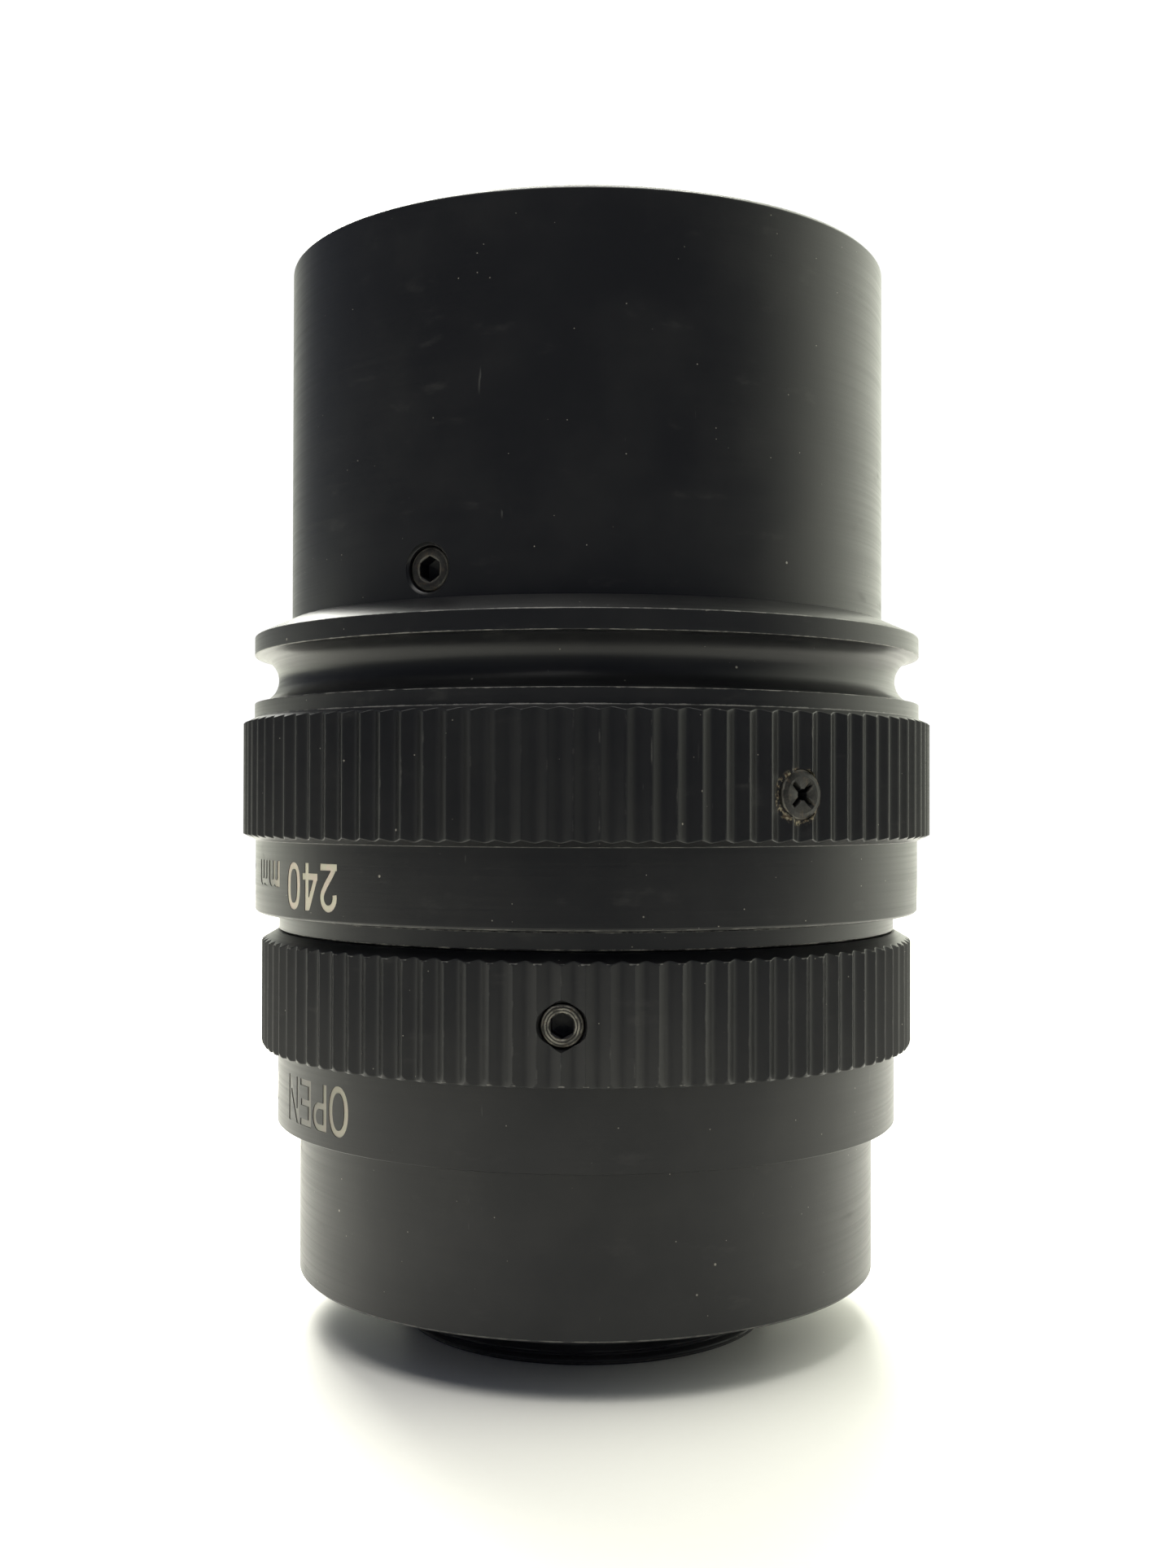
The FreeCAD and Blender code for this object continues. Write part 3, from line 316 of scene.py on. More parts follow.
def marking_paint():
    """Matt beige paint in the engraving, slightly pink in places. Where it is rubbed off it is as dark and
    as glossy as the metal."""
    s = Shader("engraving_paint")
    tone = s.ramp(s.noise(s.point, 1.3, 3), 0.35, 0.7)
    colour = s.mixed(tone, (0.46, 0.44, 0.34, 1), (0.50, 0.42, 0.35, 1))
    thin = s.ramp(s.noise(s.point, 6.0, 4, 0.7), 0.60, 0.75)
    thin = s.math("MULTIPLY", thin, 0.35)
    for *place, reach in PAINT_RUBBED_AT:
        thin = s.math("MAXIMUM", thin, s.ramp(s.distance_to(*place), reach, 1.0, 0.0, 0.95))
    colour = s.mixed(thin, colour, (0.013, 0.012, 0.010, 1))
    gloss = s.math("MULTIPLY", thin, 0.27)
    s.set(Base_Color=colour, Roughness=s.math("SUBTRACT", 0.62, gloss))
    s.set(Normal=s.bump(s.noise(s.point, 12, 3), 0.01))
    return s.material


def coated_glass(name, film):
    """Optical glass. film is the coating's thickness in nanometres, near a quarter of a wave of light, so
    that little is reflected and what is left is tinted."""
    s = Shader(name)
    haze = s.ramp(s.noise(s.point, 0.35, 5, 0.6), 0.45, 0.8)
    dust = s.specks(1.1, 0.05, 0.06)
    s.set(Base_Color=s.mixed(dust, (0.97, 0.985, 0.98, 1), (0.35, 0.33, 0.30, 1)))
    s.set(Roughness=s.math("ADD", s.math("MULTIPLY", haze, 0.015), s.math("MULTIPLY", dust, 0.4)))
    s.set(Transmission_Weight=1.0, IOR=1.62, Thin_Film_Thickness=film, Thin_Film_IOR=1.38)
    return s.material


def nylon():
    s = Shader("nylon_pad")
    tone = s.noise(s.point, 2.5, 3)
    s.set(Base_Color=s.mixed(tone, (0.62, 0.60, 0.52, 1), (0.74, 0.72, 0.65, 1)), Roughness=0.5)
    s.set(Subsurface_Weight=0.2, Subsurface_Scale=0.0005, Normal=s.bump(tone, 0.01))
    return s.material


# ---- mesh building ---------------------------------------------------------------
SMALL_TURN = math.radians(22)
SHARP_TURN = math.radians(32)
CORNER_STEPS = 3


def softened(corners, radius=0.06):
    """Rounds a closed outline's corners a little and holds the flats beside them with a support point."""
    result = []
    for i, corner in enumerate(corners):
        here = Vector(corner)
        into = here - Vector(corners[i - 1])
        out = Vector(corners[(i + 1) % len(corners)]) - here
        if into.angle(out) < SMALL_TURN:
            result.append(here)
            continue
        reach = min(radius, 0.3 * into.length, 0.3 * out.length)
        first = here - into.normalized() * reach
        last = here + out.normalized() * reach
        result.append(first - into.normalized() * reach * 0.4)
        for step in range(CORNER_STEPS + 1):
            t = step / CORNER_STEPS
            result.append(first.lerp(here, t).lerp(here.lerp(last, t), t))
        result.append(last + out.normalized() * reach * 0.4)
    return result


def arc_between(start, middle, end, steps):
    """Points inside a circular arc through three points, without its ends."""
    (ax, ay), (bx, by), (cx, cy) = start, middle, end
    d = 2 * (ax * (by - cy) + bx * (cy - ay) + cx * (ay - by))
    a, b, c = ax * ax + ay * ay, bx * bx + by * by, cx * cx + cy * cy
    x = (a * (by - cy) + b * (cy - ay) + c * (ay - by)) / d
    y = (a * (cx - bx) + b * (ax - cx) + c * (bx - ax)) / d
    centre = Vector((x, y))
    first, last = Vector(start) - centre, Vector(end) - centre
    whole = first.angle_signed(last)
    points = []
    for step in range(1, steps):
        turn = -whole * step / steps
        cosine, sine = math.cos(turn), math.sin(turn)
        points.append((x + first.x * cosine - first.y * sine, y + first.x * sine + first.y * cosine))
    return points


def new_object(name, points, faces):
    mesh = bpy.data.meshes.new(name)
    mesh.from_pydata([tuple(p) for p in points], [], faces)
    made = bpy.data.objects.new(name, mesh)
    bpy.context.scene.collection.objects.link(made)
    return made


def even_bearings(count):
    return [360 * i / count for i in range(count)]


FLUTE_STEPS = 10
FLUTE_LAND = 0.010
VALLEY_ROUNDING = 0.2


def flute_bearings(ridge_share):
    """Columns at both edges of each narrow ridge and across each hollow between them.

    ridge_share is how far the first ridge is past the -Y side, in flutes."""
    pitch = 360 / FLUTE_COUNT
    shares = [FLUTE_LAND + (1 - 2 * FLUTE_LAND) * i / FLUTE_STEPS for i in range(FLUTE_STEPS + 1)]
    return [pitch * (ridge_share + i + share) for i in range(FLUTE_COUNT) for share in shares]


def flute_radius(bearing, tip, depth, ridge_share):
    """Radius of V-shaped flutes with rounded bottoms and a narrow ridge between them."""
    turn = (bearing * FLUTE_COUNT / 360 - ridge_share) % 1
    across = abs(2 * turn - 1) / (1 - 2 * FLUTE_LAND)
    ridge = math.hypot(1, VALLEY_ROUNDING)
    fall = (ridge - math.hypot(min(across, 1), VALLEY_ROUNDING)) / (ridge - VALLEY_ROUNDING)
    return round(tip - depth * fall, 5)


def revolved(name, outline_at, bearings):
    """Closed ring. outline_at(bearing) is its anticlockwise outline there, as (radius, height) pairs."""
    points, faces = [], []
    for bearing in bearings:
        outline = outline_at(bearing)
        points += [bearing_point(bearing, radius, height) for radius, height in outline]
    rows = len(outline)
    columns = len(bearings)
    for column in range(columns):
        here = column * rows
        there = (column + 1) % columns * rows
        for row in range(rows):
            above = (row + 1) % rows
            faces.append((here + row, there + row, there + above, here + above))
    return new_object(name, points, faces)


def radial_frame(bearing, height):
    """Maps a piece's own +Z to the outward radius at a bearing, and its +Y to the lens's +Z."""
    angle = math.radians(bearing)
    across = Vector((math.cos(angle), math.sin(angle), 0))
    up = Vector((0, 0, 1))
    out = Vector((math.sin(angle), -math.cos(angle), 0))
    turn = Matrix((across, up, out)).transposed().to_4x4()
    return Matrix.Translation((0, 0, height * MM)) @ turn


def spun_solid(name, rings, sides, place):
    """Closed solid about its own +Z. A ring is (radius, level); a radius may be a function of the angle."""
    points = [Vector((0, 0, rings[0][1]))]
    for radius, level in rings:
        for side in range(sides):
            angle = 360 * side / sides
            reach = radius(angle) if callable(radius) else radius
            turn = math.radians(angle)
            points.append(Vector((reach * math.cos(turn), reach * math.sin(turn), level)))
    points.append(Vector((0, 0, rings[-1][1])))
    faces = []
    last_ring = 1 + (len(rings) - 1) * sides
    for side in range(sides):
        beside = (side + 1) % sides
        faces.append((0, 1 + beside, 1 + side))
        for ring in range(len(rings) - 1):
            low, high = 1 + ring * sides, 1 + (ring + 1) * sides
            faces.append((low + side, low + beside, high + beside, high + side))
        faces.append((last_ring + side, last_ring + beside, len(points) - 1))
    return new_object(name, [place @ (p * MM) for p in points], faces)


def spun_around(name, rings, sides, bearings, height):
    """The same solid at each bearing, pointing outwards."""
    return [spun_solid(name, rings, sides, radial_frame(bearing, height)) for bearing in bearings]


def hexagon(across_flats):
    """Radius of a hexagon with a corner at the top, as a function of the angle."""
    return lambda angle: across_flats / 2 / math.cos(math.radians((angle - 30) % 60 - 30))


def cross(half_width, reach, tilt, grow=1.0):
    """Radius of a cross-head recess, as a function of the angle."""

    def radius(angle):
        off = math.radians((angle - tilt + 45) % 90 - 45)
        side = half_width / max(abs(math.sin(off)), 1e-6)
        return grow * max(min(reach, side), 2.6 * half_width)

    return radius


def joined(name, parts):
    """One object out of several."""
    builder = bmesh.new()
    for part in parts:
        builder.from_mesh(part.data)
        bpy.data.objects.remove(part)
    mesh = bpy.data.meshes.new(name)
    builder.to_mesh(mesh)
    builder.free()
    made = bpy.data.objects.new(name, mesh)
    bpy.context.scene.collection.objects.link(made)
    return made


def combined(target, others, operation):
    """Cuts others out of target, or adds them to it, and removes them."""
    for other in others:
        modifier = target.modifiers.new("combine", "BOOLEAN")
        modifier.operation = operation
        modifier.solver = "MANIFOLD"
        modifier.object = other
    evaluated = target.evaluated_get(bpy.context.evaluated_depsgraph_get())
    result = bpy.data.meshes.new_from_object(evaluated)
    target.modifiers.clear()
    target.data = result
    for other in others:
        bpy.data.objects.remove(other)
    return target


def finished(piece, material, body, replaced=()):
    """Shades a piece, gives it its material and ties it to the frame."""
    mesh = piece.data
    mesh.materials.clear()
    mesh.materials.append(material)
    mesh.polygons.foreach_set("use_smooth", [True] * len(mesh.polygons))
    mesh.set_sharp_from_angle(angle=SHARP_TURN)
    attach(piece, body)
    if replaced:
        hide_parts(*replaced)
    return piece


# ---- engraved characters ---------------------------------------------------------
STROKE = 0.142
HALF = STROKE / 2
NARROW = 0.56


def bend(cx, cy, rx, ry, start, end, steps=14):
    """Points of an elliptical arc, by angles in degrees."""
    angles = [math.radians(start + (end - start) * i / steps) for i in range(steps + 1)]
    return [(cx + rx * math.cos(a), cy + ry * math.sin(a)) for a in angles]


def oval(width, squareness, overshoot=0.0):
    """Closed loop as tall as a capital, or taller by the overshoot at each end."""
    points = []
    for i in range(36):
        a = math.radians(10 * i)
        cosine, sine = math.cos(a), math.sin(a)
        x = math.copysign(abs(cosine) ** (2 / squareness), cosine)
        y = math.copysign(abs(sine) ** (2 / squareness), sine)
        points.append((width / 2 + (width / 2 - HALF) * x, 0.5 + (0.5 - HALF + overshoot) * y))
    return points + [points[0]]


def lobe(cx, reach, side, turn):
    """Quarter of an infinity sign, from just past its far end to its middle."""
    points = []
    for i in range(11):
        t = math.radians(turn * (10 * i - 10))
        scale = reach / (1 + math.sin(t) ** 2)
        points.append((cx + side * scale * math.cos(t), 0.42 + 1.5 * scale * math.sin(t) * math.cos(t)))
    return points


def stem(x, bottom=0.0, top=1.0):
    return [(x, bottom), (x, top)]


def bar(y, left, right):
    return [(left, y), (right, y)]


# A character is its width and its strokes, with the capital height as 1.
CHARACTERS = {
    "0": (NARROW, [oval(NARROW, 2.5)]),
    "1": (0.36, [stem(0.25), [(0.27, 0.93), (0.04, 0.77)]]),
    "2": (NARROW, [
        bend(0.28, 0.70, 0.209, 0.229, 195, -28) + [(0.36, 0.44), (0.20, 0.25), (0.10, 0.11)],
        bar(HALF, 0.0, NARROW)]),
    "3": (NARROW, [
        bend(0.27, 0.735, 0.20, 0.194, 165, -95),
        bend(0.26, 0.305, 0.225, 0.234, 95, -165)]),
    "4": (0.586, [stem(0.40), [(0.065, 0.29), (0.365, 0.975)], bar(0.285, 0.0, 0.586)]),
    "5": (NARROW, [
        bar(1 - HALF, 0.08, 0.50),
        [(0.145, 0.98), (0.11, 0.50)],
        bend(0.255, 0.325, 0.225, 0.254, 140, -165)]),
    "m": (0.685, [
        stem(HALF, 0.0, 0.56),
        [(0.3425, 0.0)] + bend(0.2065, 0.36, 0.136, 0.129, 0, 180),
        [(0.614, 0.0)] + bend(0.478, 0.36, 0.136, 0.129, 0, 180)]),
    "O": (0.69, [oval(0.69, 2.15, 0.035)]),
    "P": (0.58, [
        stem(HALF),
        [(0.05, 1 - HALF)] + bend(0.32, 0.70, 0.189, 0.229, 90, -90) + [(0.05, 0.471)]]),
    "E": (0.54, [stem(HALF), bar(HALF, 0.05, 0.54), bar(0.50, 0.05, 0.50), bar(1 - HALF, 0.05, 0.54)]),
    "N": (0.66, [stem(HALF), stem(0.66 - HALF), [(0.095, 0.92), (0.565, 0.08)]]),
    "C": (0.64, [bend(0.34, 0.5, 0.269, 0.429, 48, 312, 20)]),
    "L": (0.50, [stem(HALF), bar(HALF, 0.05, 0.50)]),
    "S": (0.58, [
        bend(0.29, 0.722, 0.215, 0.207, 25, 265) + bend(0.29, 0.293, 0.215, 0.222, 80, -155)]),
    "infinity": (0.98, [lobe(0.49, 0.42, side, turn) for side in (1, -1) for turn in (1, -1)]),
}
CHARACTER_GAP = 0.085
WORD_GAP = 0.43


def ribbon_solid(path, half_widths):
    """Flat solid along a path of (x, y) points, one unit thick, with square ends."""
    closed = path[0] == path[-1]
    points = [Vector(p) for p in (path[:-1] if closed else path)]
    count = len(points)
    sides = []
    for i, here in enumerate(points):
        before = points[i - 1] if closed or i else None
        after = points[(i + 1) % count] if closed or i < count - 1 else None
        into = (here - before).normalized() if before else (after - here).normalized()
        out = (after - here).normalized() if after else into
        mean = (into + out).normalized()
        reach = half_widths[i] / max(mean.dot(into), 0.5)
        normal = Vector((-mean.y, mean.x)) * reach
        sides.append((here + normal, here - normal))
    vertices = [(p.x, p.y, level) for pair in sides for p in pair for level in (0.0, 1.0)]
    faces = []
    for i in range(count if closed else count - 1):
        a, b = 4 * i, 4 * ((i + 1) % count)
        faces += [(a + 1, a + 3, b + 3, b + 1), (a, b, b + 2, a + 2)]
        faces += [(a, a + 1, b + 1, b), (a + 2, b + 2, b + 3, a + 3)]
    if not closed:
        end = 4 * (count - 1)
        faces += [(0, 2, 3, 1), (end, end + 1, end + 3, end + 2)]
    return new_object("stroke", vertices, faces)


@lru_cache(None)
def character_mesh(name):
    """A character's strokes as one solid, with the capital height as 1."""
    strokes = [ribbon_solid(path, [HALF] * len(path)) for path in CHARACTERS[name][1]]
    whole = combined(strokes[0], strokes[1:], "UNION")
    mesh = whole.data
    bpy.data.objects.remove(whole)
    return mesh


def text_width(characters):
    width = 0.0
    for name in characters:
        width += WORD_GAP if name == " " else CHARACTERS[name][0] + CHARACTER_GAP
    return width - CHARACTER_GAP


SLICE = 0.25


def wrapped(mesh, scale, start, base, radius, inner, outer, shift=0.0):
    """Bends a flat solid round the lens, upside down, reading towards smaller bearings.

    Its x starts at a bearing, its y=0 line is at the height base, and its thickness spans two radii."""
    builder = bmesh.new()
    builder.from_mesh(mesh)
    xs = [v.co.x for v in builder.verts]
    cut = min(xs) + SLICE / scale
    while cut < max(xs):
        geometry = builder.verts[:] + builder.edges[:] + builder.faces[:]
        bmesh.ops.bisect_plane(builder, geom=geometry, plane_co=(cut, 0, 0), plane_no=(1, 0, 0))
        cut += SLICE / scale
    for vertex in builder.verts:
        x, y, level = vertex.co
        bearing = start - math.degrees((x + shift) * scale / radius)
        vertex.co = bearing_point(bearing, inner + (outer - inner) * level, base - y * scale)
    result = bpy.data.meshes.new("wrapped")
    builder.to_mesh(result)
    builder.free()
    made = bpy.data.objects.new("wrapped", result)
    bpy.context.scene.collection.objects.link(made)
    return made


ENGRAVING_DEPTH = 0.10
PAINT_SINK = 0.035


class Engraving:
    """Marks on one turned surface: solids that cut the grooves, and the paint that lies in them."""

    def __init__(self, radius):
        self.radius = radius
        self.cutters = []
        self.paint = []

    def add(self, mesh, scale, start, base, shift=0.0):
        bottom = self.radius - ENGRAVING_DEPTH
        spans = ((self.cutters, bottom, self.radius + 0.1), (self.paint, bottom, self.radius - PAINT_SINK))
        for group, inner, outer in spans:
            group.append(wrapped(mesh, scale, start, base, self.radius, inner, outer, shift))

    def word(self, characters, scale, start, base):
        """characters is a list of names; the first starts at the bearing start."""
        shift = 0.0
        for name in characters:
            if name == " ":
                shift += WORD_GAP - CHARACTER_GAP
                continue
            self.add(character_mesh(name), scale, start, base, shift)
            shift += CHARACTERS[name][0] + CHARACTER_GAP

    def centred_word(self, characters, scale, middle, base):
        half = math.degrees(text_width(characters) * scale / 2 / self.radius)
        self.word(characters, scale, middle + half, base)

    def wedge(self, start, end, middle, wide, narrow):
        """Tapering band round the lens, from the bearing start to end."""
        length = math.radians(start - end) * self.radius
        solid = ribbon_solid([(0.0, 0.0), (length, 0.0)], [wide / 2, narrow / 2])
        self.add(solid.data, 1.0, start, middle)
        bpy.data.objects.remove(solid)

    def cutter(self):
        return joined("grooves", self.cutters)

    def painted(self, name, body):
        return finished(joined(name, self.paint), PAINT, body)


LETTER_HEIGHT = 2.95
FOCUS_TEXT_BASE = 31.78
IRIS_TEXT_BASE = 17.88
FOCUS_INDEX = 152.0
NEAREST_LABEL_START = -41.1
OPEN_LABEL_START = -42.9
IRIS_INDEX = -75.0
CLOSED_LABEL_START = -139.0
FOCAL_LENGTH = 28.5
NEAREST = 240
SCALE_DISTANCES = (300, 400, 500, 1000)


def scale_bearing(distance):
    """Bearing of a focus distance's mark at rest, when the lens is focused at infinity."""
    share = (NEAREST - FOCAL_LENGTH) / (distance - FOCAL_LENGTH)
    return FOCUS_INDEX + FOCUS_TURN * share


def focus_engraving():
    marks = Engraving(FOCUS_BAND_RADIUS)
    marks.word(list(str(NEAREST)) + [" ", "m", "m"], LETTER_HEIGHT, NEAREST_LABEL_START, FOCUS_TEXT_BASE)
    for distance in SCALE_DISTANCES:
        marks.centred_word(list(str(distance)), LETTER_HEIGHT, scale_bearing(distance), FOCUS_TEXT_BASE)
    marks.centred_word(["infinity"], LETTER_HEIGHT, FOCUS_INDEX, FOCUS_TEXT_BASE)
    return marks


def iris_engraving():
    marks = Engraving(IRIS_BAND_RADIUS)
    marks.word(list("OPEN"), LETTER_HEIGHT, OPEN_LABEL_START, IRIS_TEXT_BASE)
    marks.wedge(IRIS_INDEX, IRIS_INDEX - IRIS_TURN, IRIS_TEXT_BASE - LETTER_HEIGHT / 2, 1.8, 0.3)
    marks.word(list("CLOSE"), LETTER_HEIGHT, CLOSED_LABEL_START, IRIS_TEXT_BASE)
    return marks


# ---- the turned shells -----------------------------------------------------------
PLAIN_COLUMNS = 288


def thread_wave(bearing, height, pitch):
    """Right-hand thread as a height from 0 to 1, with flat crests."""
    phase = (height / pitch - bearing / 360) % 1
    return min(1.0, max(0.0, 2.4 * abs(phase - 0.5) - 0.1))


LEAST_TURNS = 4
THREAD_FADE = 0.25
FILTER_PITCH = 0.5
MOUNT_PITCH = 25.4 / 32
# Finer than a real mount's thread. At MOUNT_PITCH the stretch is under LEAST_TURNS and would stay plain.
DRAWN_MOUNT_PITCH = MOUNT_PITCH * 0.8


def threaded(outline, bearing, radius, pitch, depth, row_step=0.05):
    """Replaces an outline's long straight stretch at one radius with rows that follow a thread.

    A stretch shorter than LEAST_TURNS of the pitch stays plain."""
    result = []
    for i, here in enumerate(outline):
        result.append(here)
        after = outline[(i + 1) % len(outline)]
        length = abs(after[1] - here[1])
        on_wall = abs(here[0] - radius) < 1e-6 and abs(after[0] - radius) < 1e-6
        if not on_wall or length < LEAST_TURNS * pitch:
            continue
        rows = round(length / row_step)
        for row in range(1, rows):
            height = here[1] + (after[1] - here[1]) * row / rows
            share = row / rows
            fade = min(1.0, share * length / THREAD_FADE, (1 - share) * length / THREAD_FADE)
            wave = thread_wave(bearing, height, pitch)
            result.append((radius + depth * wave * fade, height))
    return result


def front_barrel():
    rib_bottom = HOOD_BOTTOM + 1.4
    rib_top = FILTER_THREAD_BOTTOM - 0.4
    pitch = (rib_top - rib_bottom) / RIB_COUNT
    ribs = []
    for i in range(RIB_COUNT):
        ribs.append((HOOD_BORE, rib_top - i * pitch))
        ribs.append((HOOD_RIB_BORE, rib_top - (i + 0.5) * pitch))
    rim = 0.25
    mouth = 0.3
    outline = softened([
        (TUBE_NECK_RADIUS, BARREL_BOTTOM),
        (BARREL_RADIUS, BARREL_BOTTOM),
        (BARREL_RADIUS, TOTAL_HEIGHT - rim),
        (BARREL_RADIUS - rim, TOTAL_HEIGHT),
        (FILTER_THREAD_RADIUS + mouth, TOTAL_HEIGHT),
        (FILTER_THREAD_RADIUS, TOTAL_HEIGHT - mouth),
        (FILTER_THREAD_RADIUS, FILTER_THREAD_BOTTOM),
        (HOOD_BORE, FILTER_THREAD_BOTTOM),
        *ribs,
        (HOOD_BORE, rib_bottom),
        (HOOD_BORE, HOOD_BOTTOM),
        (TUBE_NECK_RADIUS, HOOD_BOTTOM),
    ])
    barrel = revolved(
        "turned_front_barrel",
        lambda bearing: threaded(outline, bearing, FILTER_THREAD_RADIUS, FILTER_PITCH, 0.24),
        even_bearings(PLAIN_COLUMNS))
    rings = [(1.43, 18.0), (1.43, 20.32), (1.50, 20.37), (1.66, 20.62), (1.66, 21.0)]
    holes = spun_around("hole", rings, 72, BARREL_SCREW_BEARINGS, BARREL_SCREW_HEIGHT)
    combined(barrel, holes, "DIFFERENCE")
    edges = [
        (BARREL_RADIUS - 0.12, TOTAL_HEIGHT - 0.12, 0.16),
        (FILTER_THREAD_RADIUS + mouth, TOTAL_HEIGHT, 0.10),
    ]
    material = anodised("front_barrel_black", 0.0072, 0.34, edges, dust=0.03)
    return finished(barrel, material, "optical_block", ["front_barrel"])


def focus_ring():
    edge = 0.15
    bore = BARREL_RADIUS + 0.12
    middle = (GROOVE_BOTTOM + GROOVE_TOP) / 2
    groove = arc_between(
        (FLANGE_RADIUS, GROOVE_BOTTOM), (GROOVE_RADIUS, middle), (FLANGE_RADIUS, GROOVE_TOP), 28)

    @lru_cache(None)
    def outline(flutes):
        slope = (flutes - FOCUS_BAND_RADIUS) / (FOCUS_KNURL_RADIUS - FOCUS_BAND_RADIUS)
        upper = (flutes - FLANGE_RADIUS) / (FOCUS_KNURL_RADIUS - FLANGE_RADIUS)
        return softened([
            (21.0, FOCUS_RING_BOTTOM),
            (FOCUS_BAND_RADIUS - edge, FOCUS_RING_BOTTOM),
            (FOCUS_BAND_RADIUS, FOCUS_RING_BOTTOM + edge),
            (FOCUS_BAND_RADIUS, FOCUS_BAND_TOP),
            (flutes, FOCUS_BAND_TOP + (FOCUS_KNURL_BOTTOM - FOCUS_BAND_TOP) * slope),
            (flutes, FOCUS_FLUTES_END - (FOCUS_FLUTES_END - FOCUS_KNURL_TOP) * upper),
            (FLANGE_RADIUS, FOCUS_FLUTES_END),
            (FLANGE_RADIUS, GROOVE_BOTTOM),
            *groove,
            (FLANGE_RADIUS, GROOVE_TOP),
            (FLANGE_RADIUS, 46.685),
            (FLANGE_RADIUS - 0.075, 46.76),
            (bore, 47.82),
            (bore, 41.6),
            (21.6, 41.6),
            (21.6, 31.6),
            (22.0, 31.6),
            (22.0, 29.95),
            (21.0, 29.95),
        ], 0.05)

    ring = revolved(
        "fluted_focus_ring",
        lambda bearing: outline(
            flute_radius(bearing, FOCUS_KNURL_RADIUS, FOCUS_FLUTE_DEPTH, FOCUS_RIDGE_SHARE)),
        flute_bearings(FOCUS_RIDGE_SHARE))
    marks = focus_engraving()
    rings = [(1.02, 20.0), (1.02, FOCUS_SCREW_SEAT), (1.52, FOCUS_SCREW_SEAT), (1.52, 25.0)]
    holes = spun_around("hole", rings, 72, FOCUS_SCREW_BEARINGS, FOCUS_SCREW_HEIGHT)
    combined(ring, [marks.cutter()] + holes, "DIFFERENCE")
    edges = [
        (FOCUS_BAND_RADIUS - 0.07, 28.22, 0.04),
        (FLANGE_RADIUS, GROOVE_BOTTOM, 0.07),
        (FLANGE_RADIUS, GROOVE_TOP, 0.07),
        (FLANGE_RADIUS - 0.04, 46.72, 0.07),
        (FLANGE_RADIUS, 41.22, 0.07),
        (FOCUS_BAND_RADIUS, FOCUS_BAND_TOP, 0.03),
    ]
    residue = (FOCUS_SCREW_BEARINGS[0] - 0.4, 23.6, FOCUS_SCREW_HEIGHT - 0.1)
    material = anodised(
        "focus_ring_black", 0.0070, 0.34, edges, FOCUS_KNURL_RADIUS, dust=0.03, residue=residue)
    marks.painted("focus_scale", "focus_control")
    return finished(ring, material, "focus_control", ["focus_ring"])


def iris_ring():
    bore = 19.25
    chamfer_radius = 22.35

    @lru_cache(None)
    def outline(flutes):
        foot = min(chamfer_radius, flutes - 0.03)
        slope = (IRIS_KNURL_RADIUS - flutes) / (IRIS_KNURL_RADIUS - IRIS_BAND_RADIUS)
        return softened([
            (bore, IRIS_RING_BOTTOM),
            (IRIS_BAND_RADIUS - 0.05, IRIS_RING_BOTTOM),
            (IRIS_BAND_RADIUS, 14.0),
            (IRIS_BAND_RADIUS, IRIS_BAND_TOP),
            (foot, IRIS_BAND_TOP),
            (flutes, IRIS_BAND_TOP + 2 * (flutes - foot)),
            (flutes, 26.2 + 0.65 * slope),
            (IRIS_BAND_RADIUS, IRIS_RING_TOP),
            (bore, IRIS_RING_TOP),
        ], 0.05)

    ring = revolved(
        "fluted_iris_ring",
        lambda bearing: outline(
            flute_radius(bearing, IRIS_KNURL_RADIUS, IRIS_FLUTE_DEPTH, IRIS_RIDGE_SHARE)),
        flute_bearings(IRIS_RIDGE_SHARE))
    marks = iris_engraving()
    lock_rings = [(1.32, 18.0), (1.32, 22.1), (1.62, 22.7), (1.62, 24.0)]
    drive_rings = [(1.02, 18.0), (1.02, 24.0)]
    cutters = [
        marks.cutter(),
        spun_solid("hole", lock_rings, 72, radial_frame(LOCK_BEARING, LOCK_HEIGHT)),
        spun_solid("hole", drive_rings, 48, radial_frame(DRIVE_BEARING, DRIVE_HEIGHT)),
    ]
    combined(ring, cutters, "DIFFERENCE")
    edges = [(22.45, 19.2, 0.08), (22.4, 26.25, 0.08)]
    material = anodised("iris_ring_black", 0.0085, 0.35, edges, IRIS_KNURL_RADIUS, dust=0.03)
    marks.painted("iris_words", "iris_control")
    return finished(ring, material, "iris_control", ["iris_ring"])


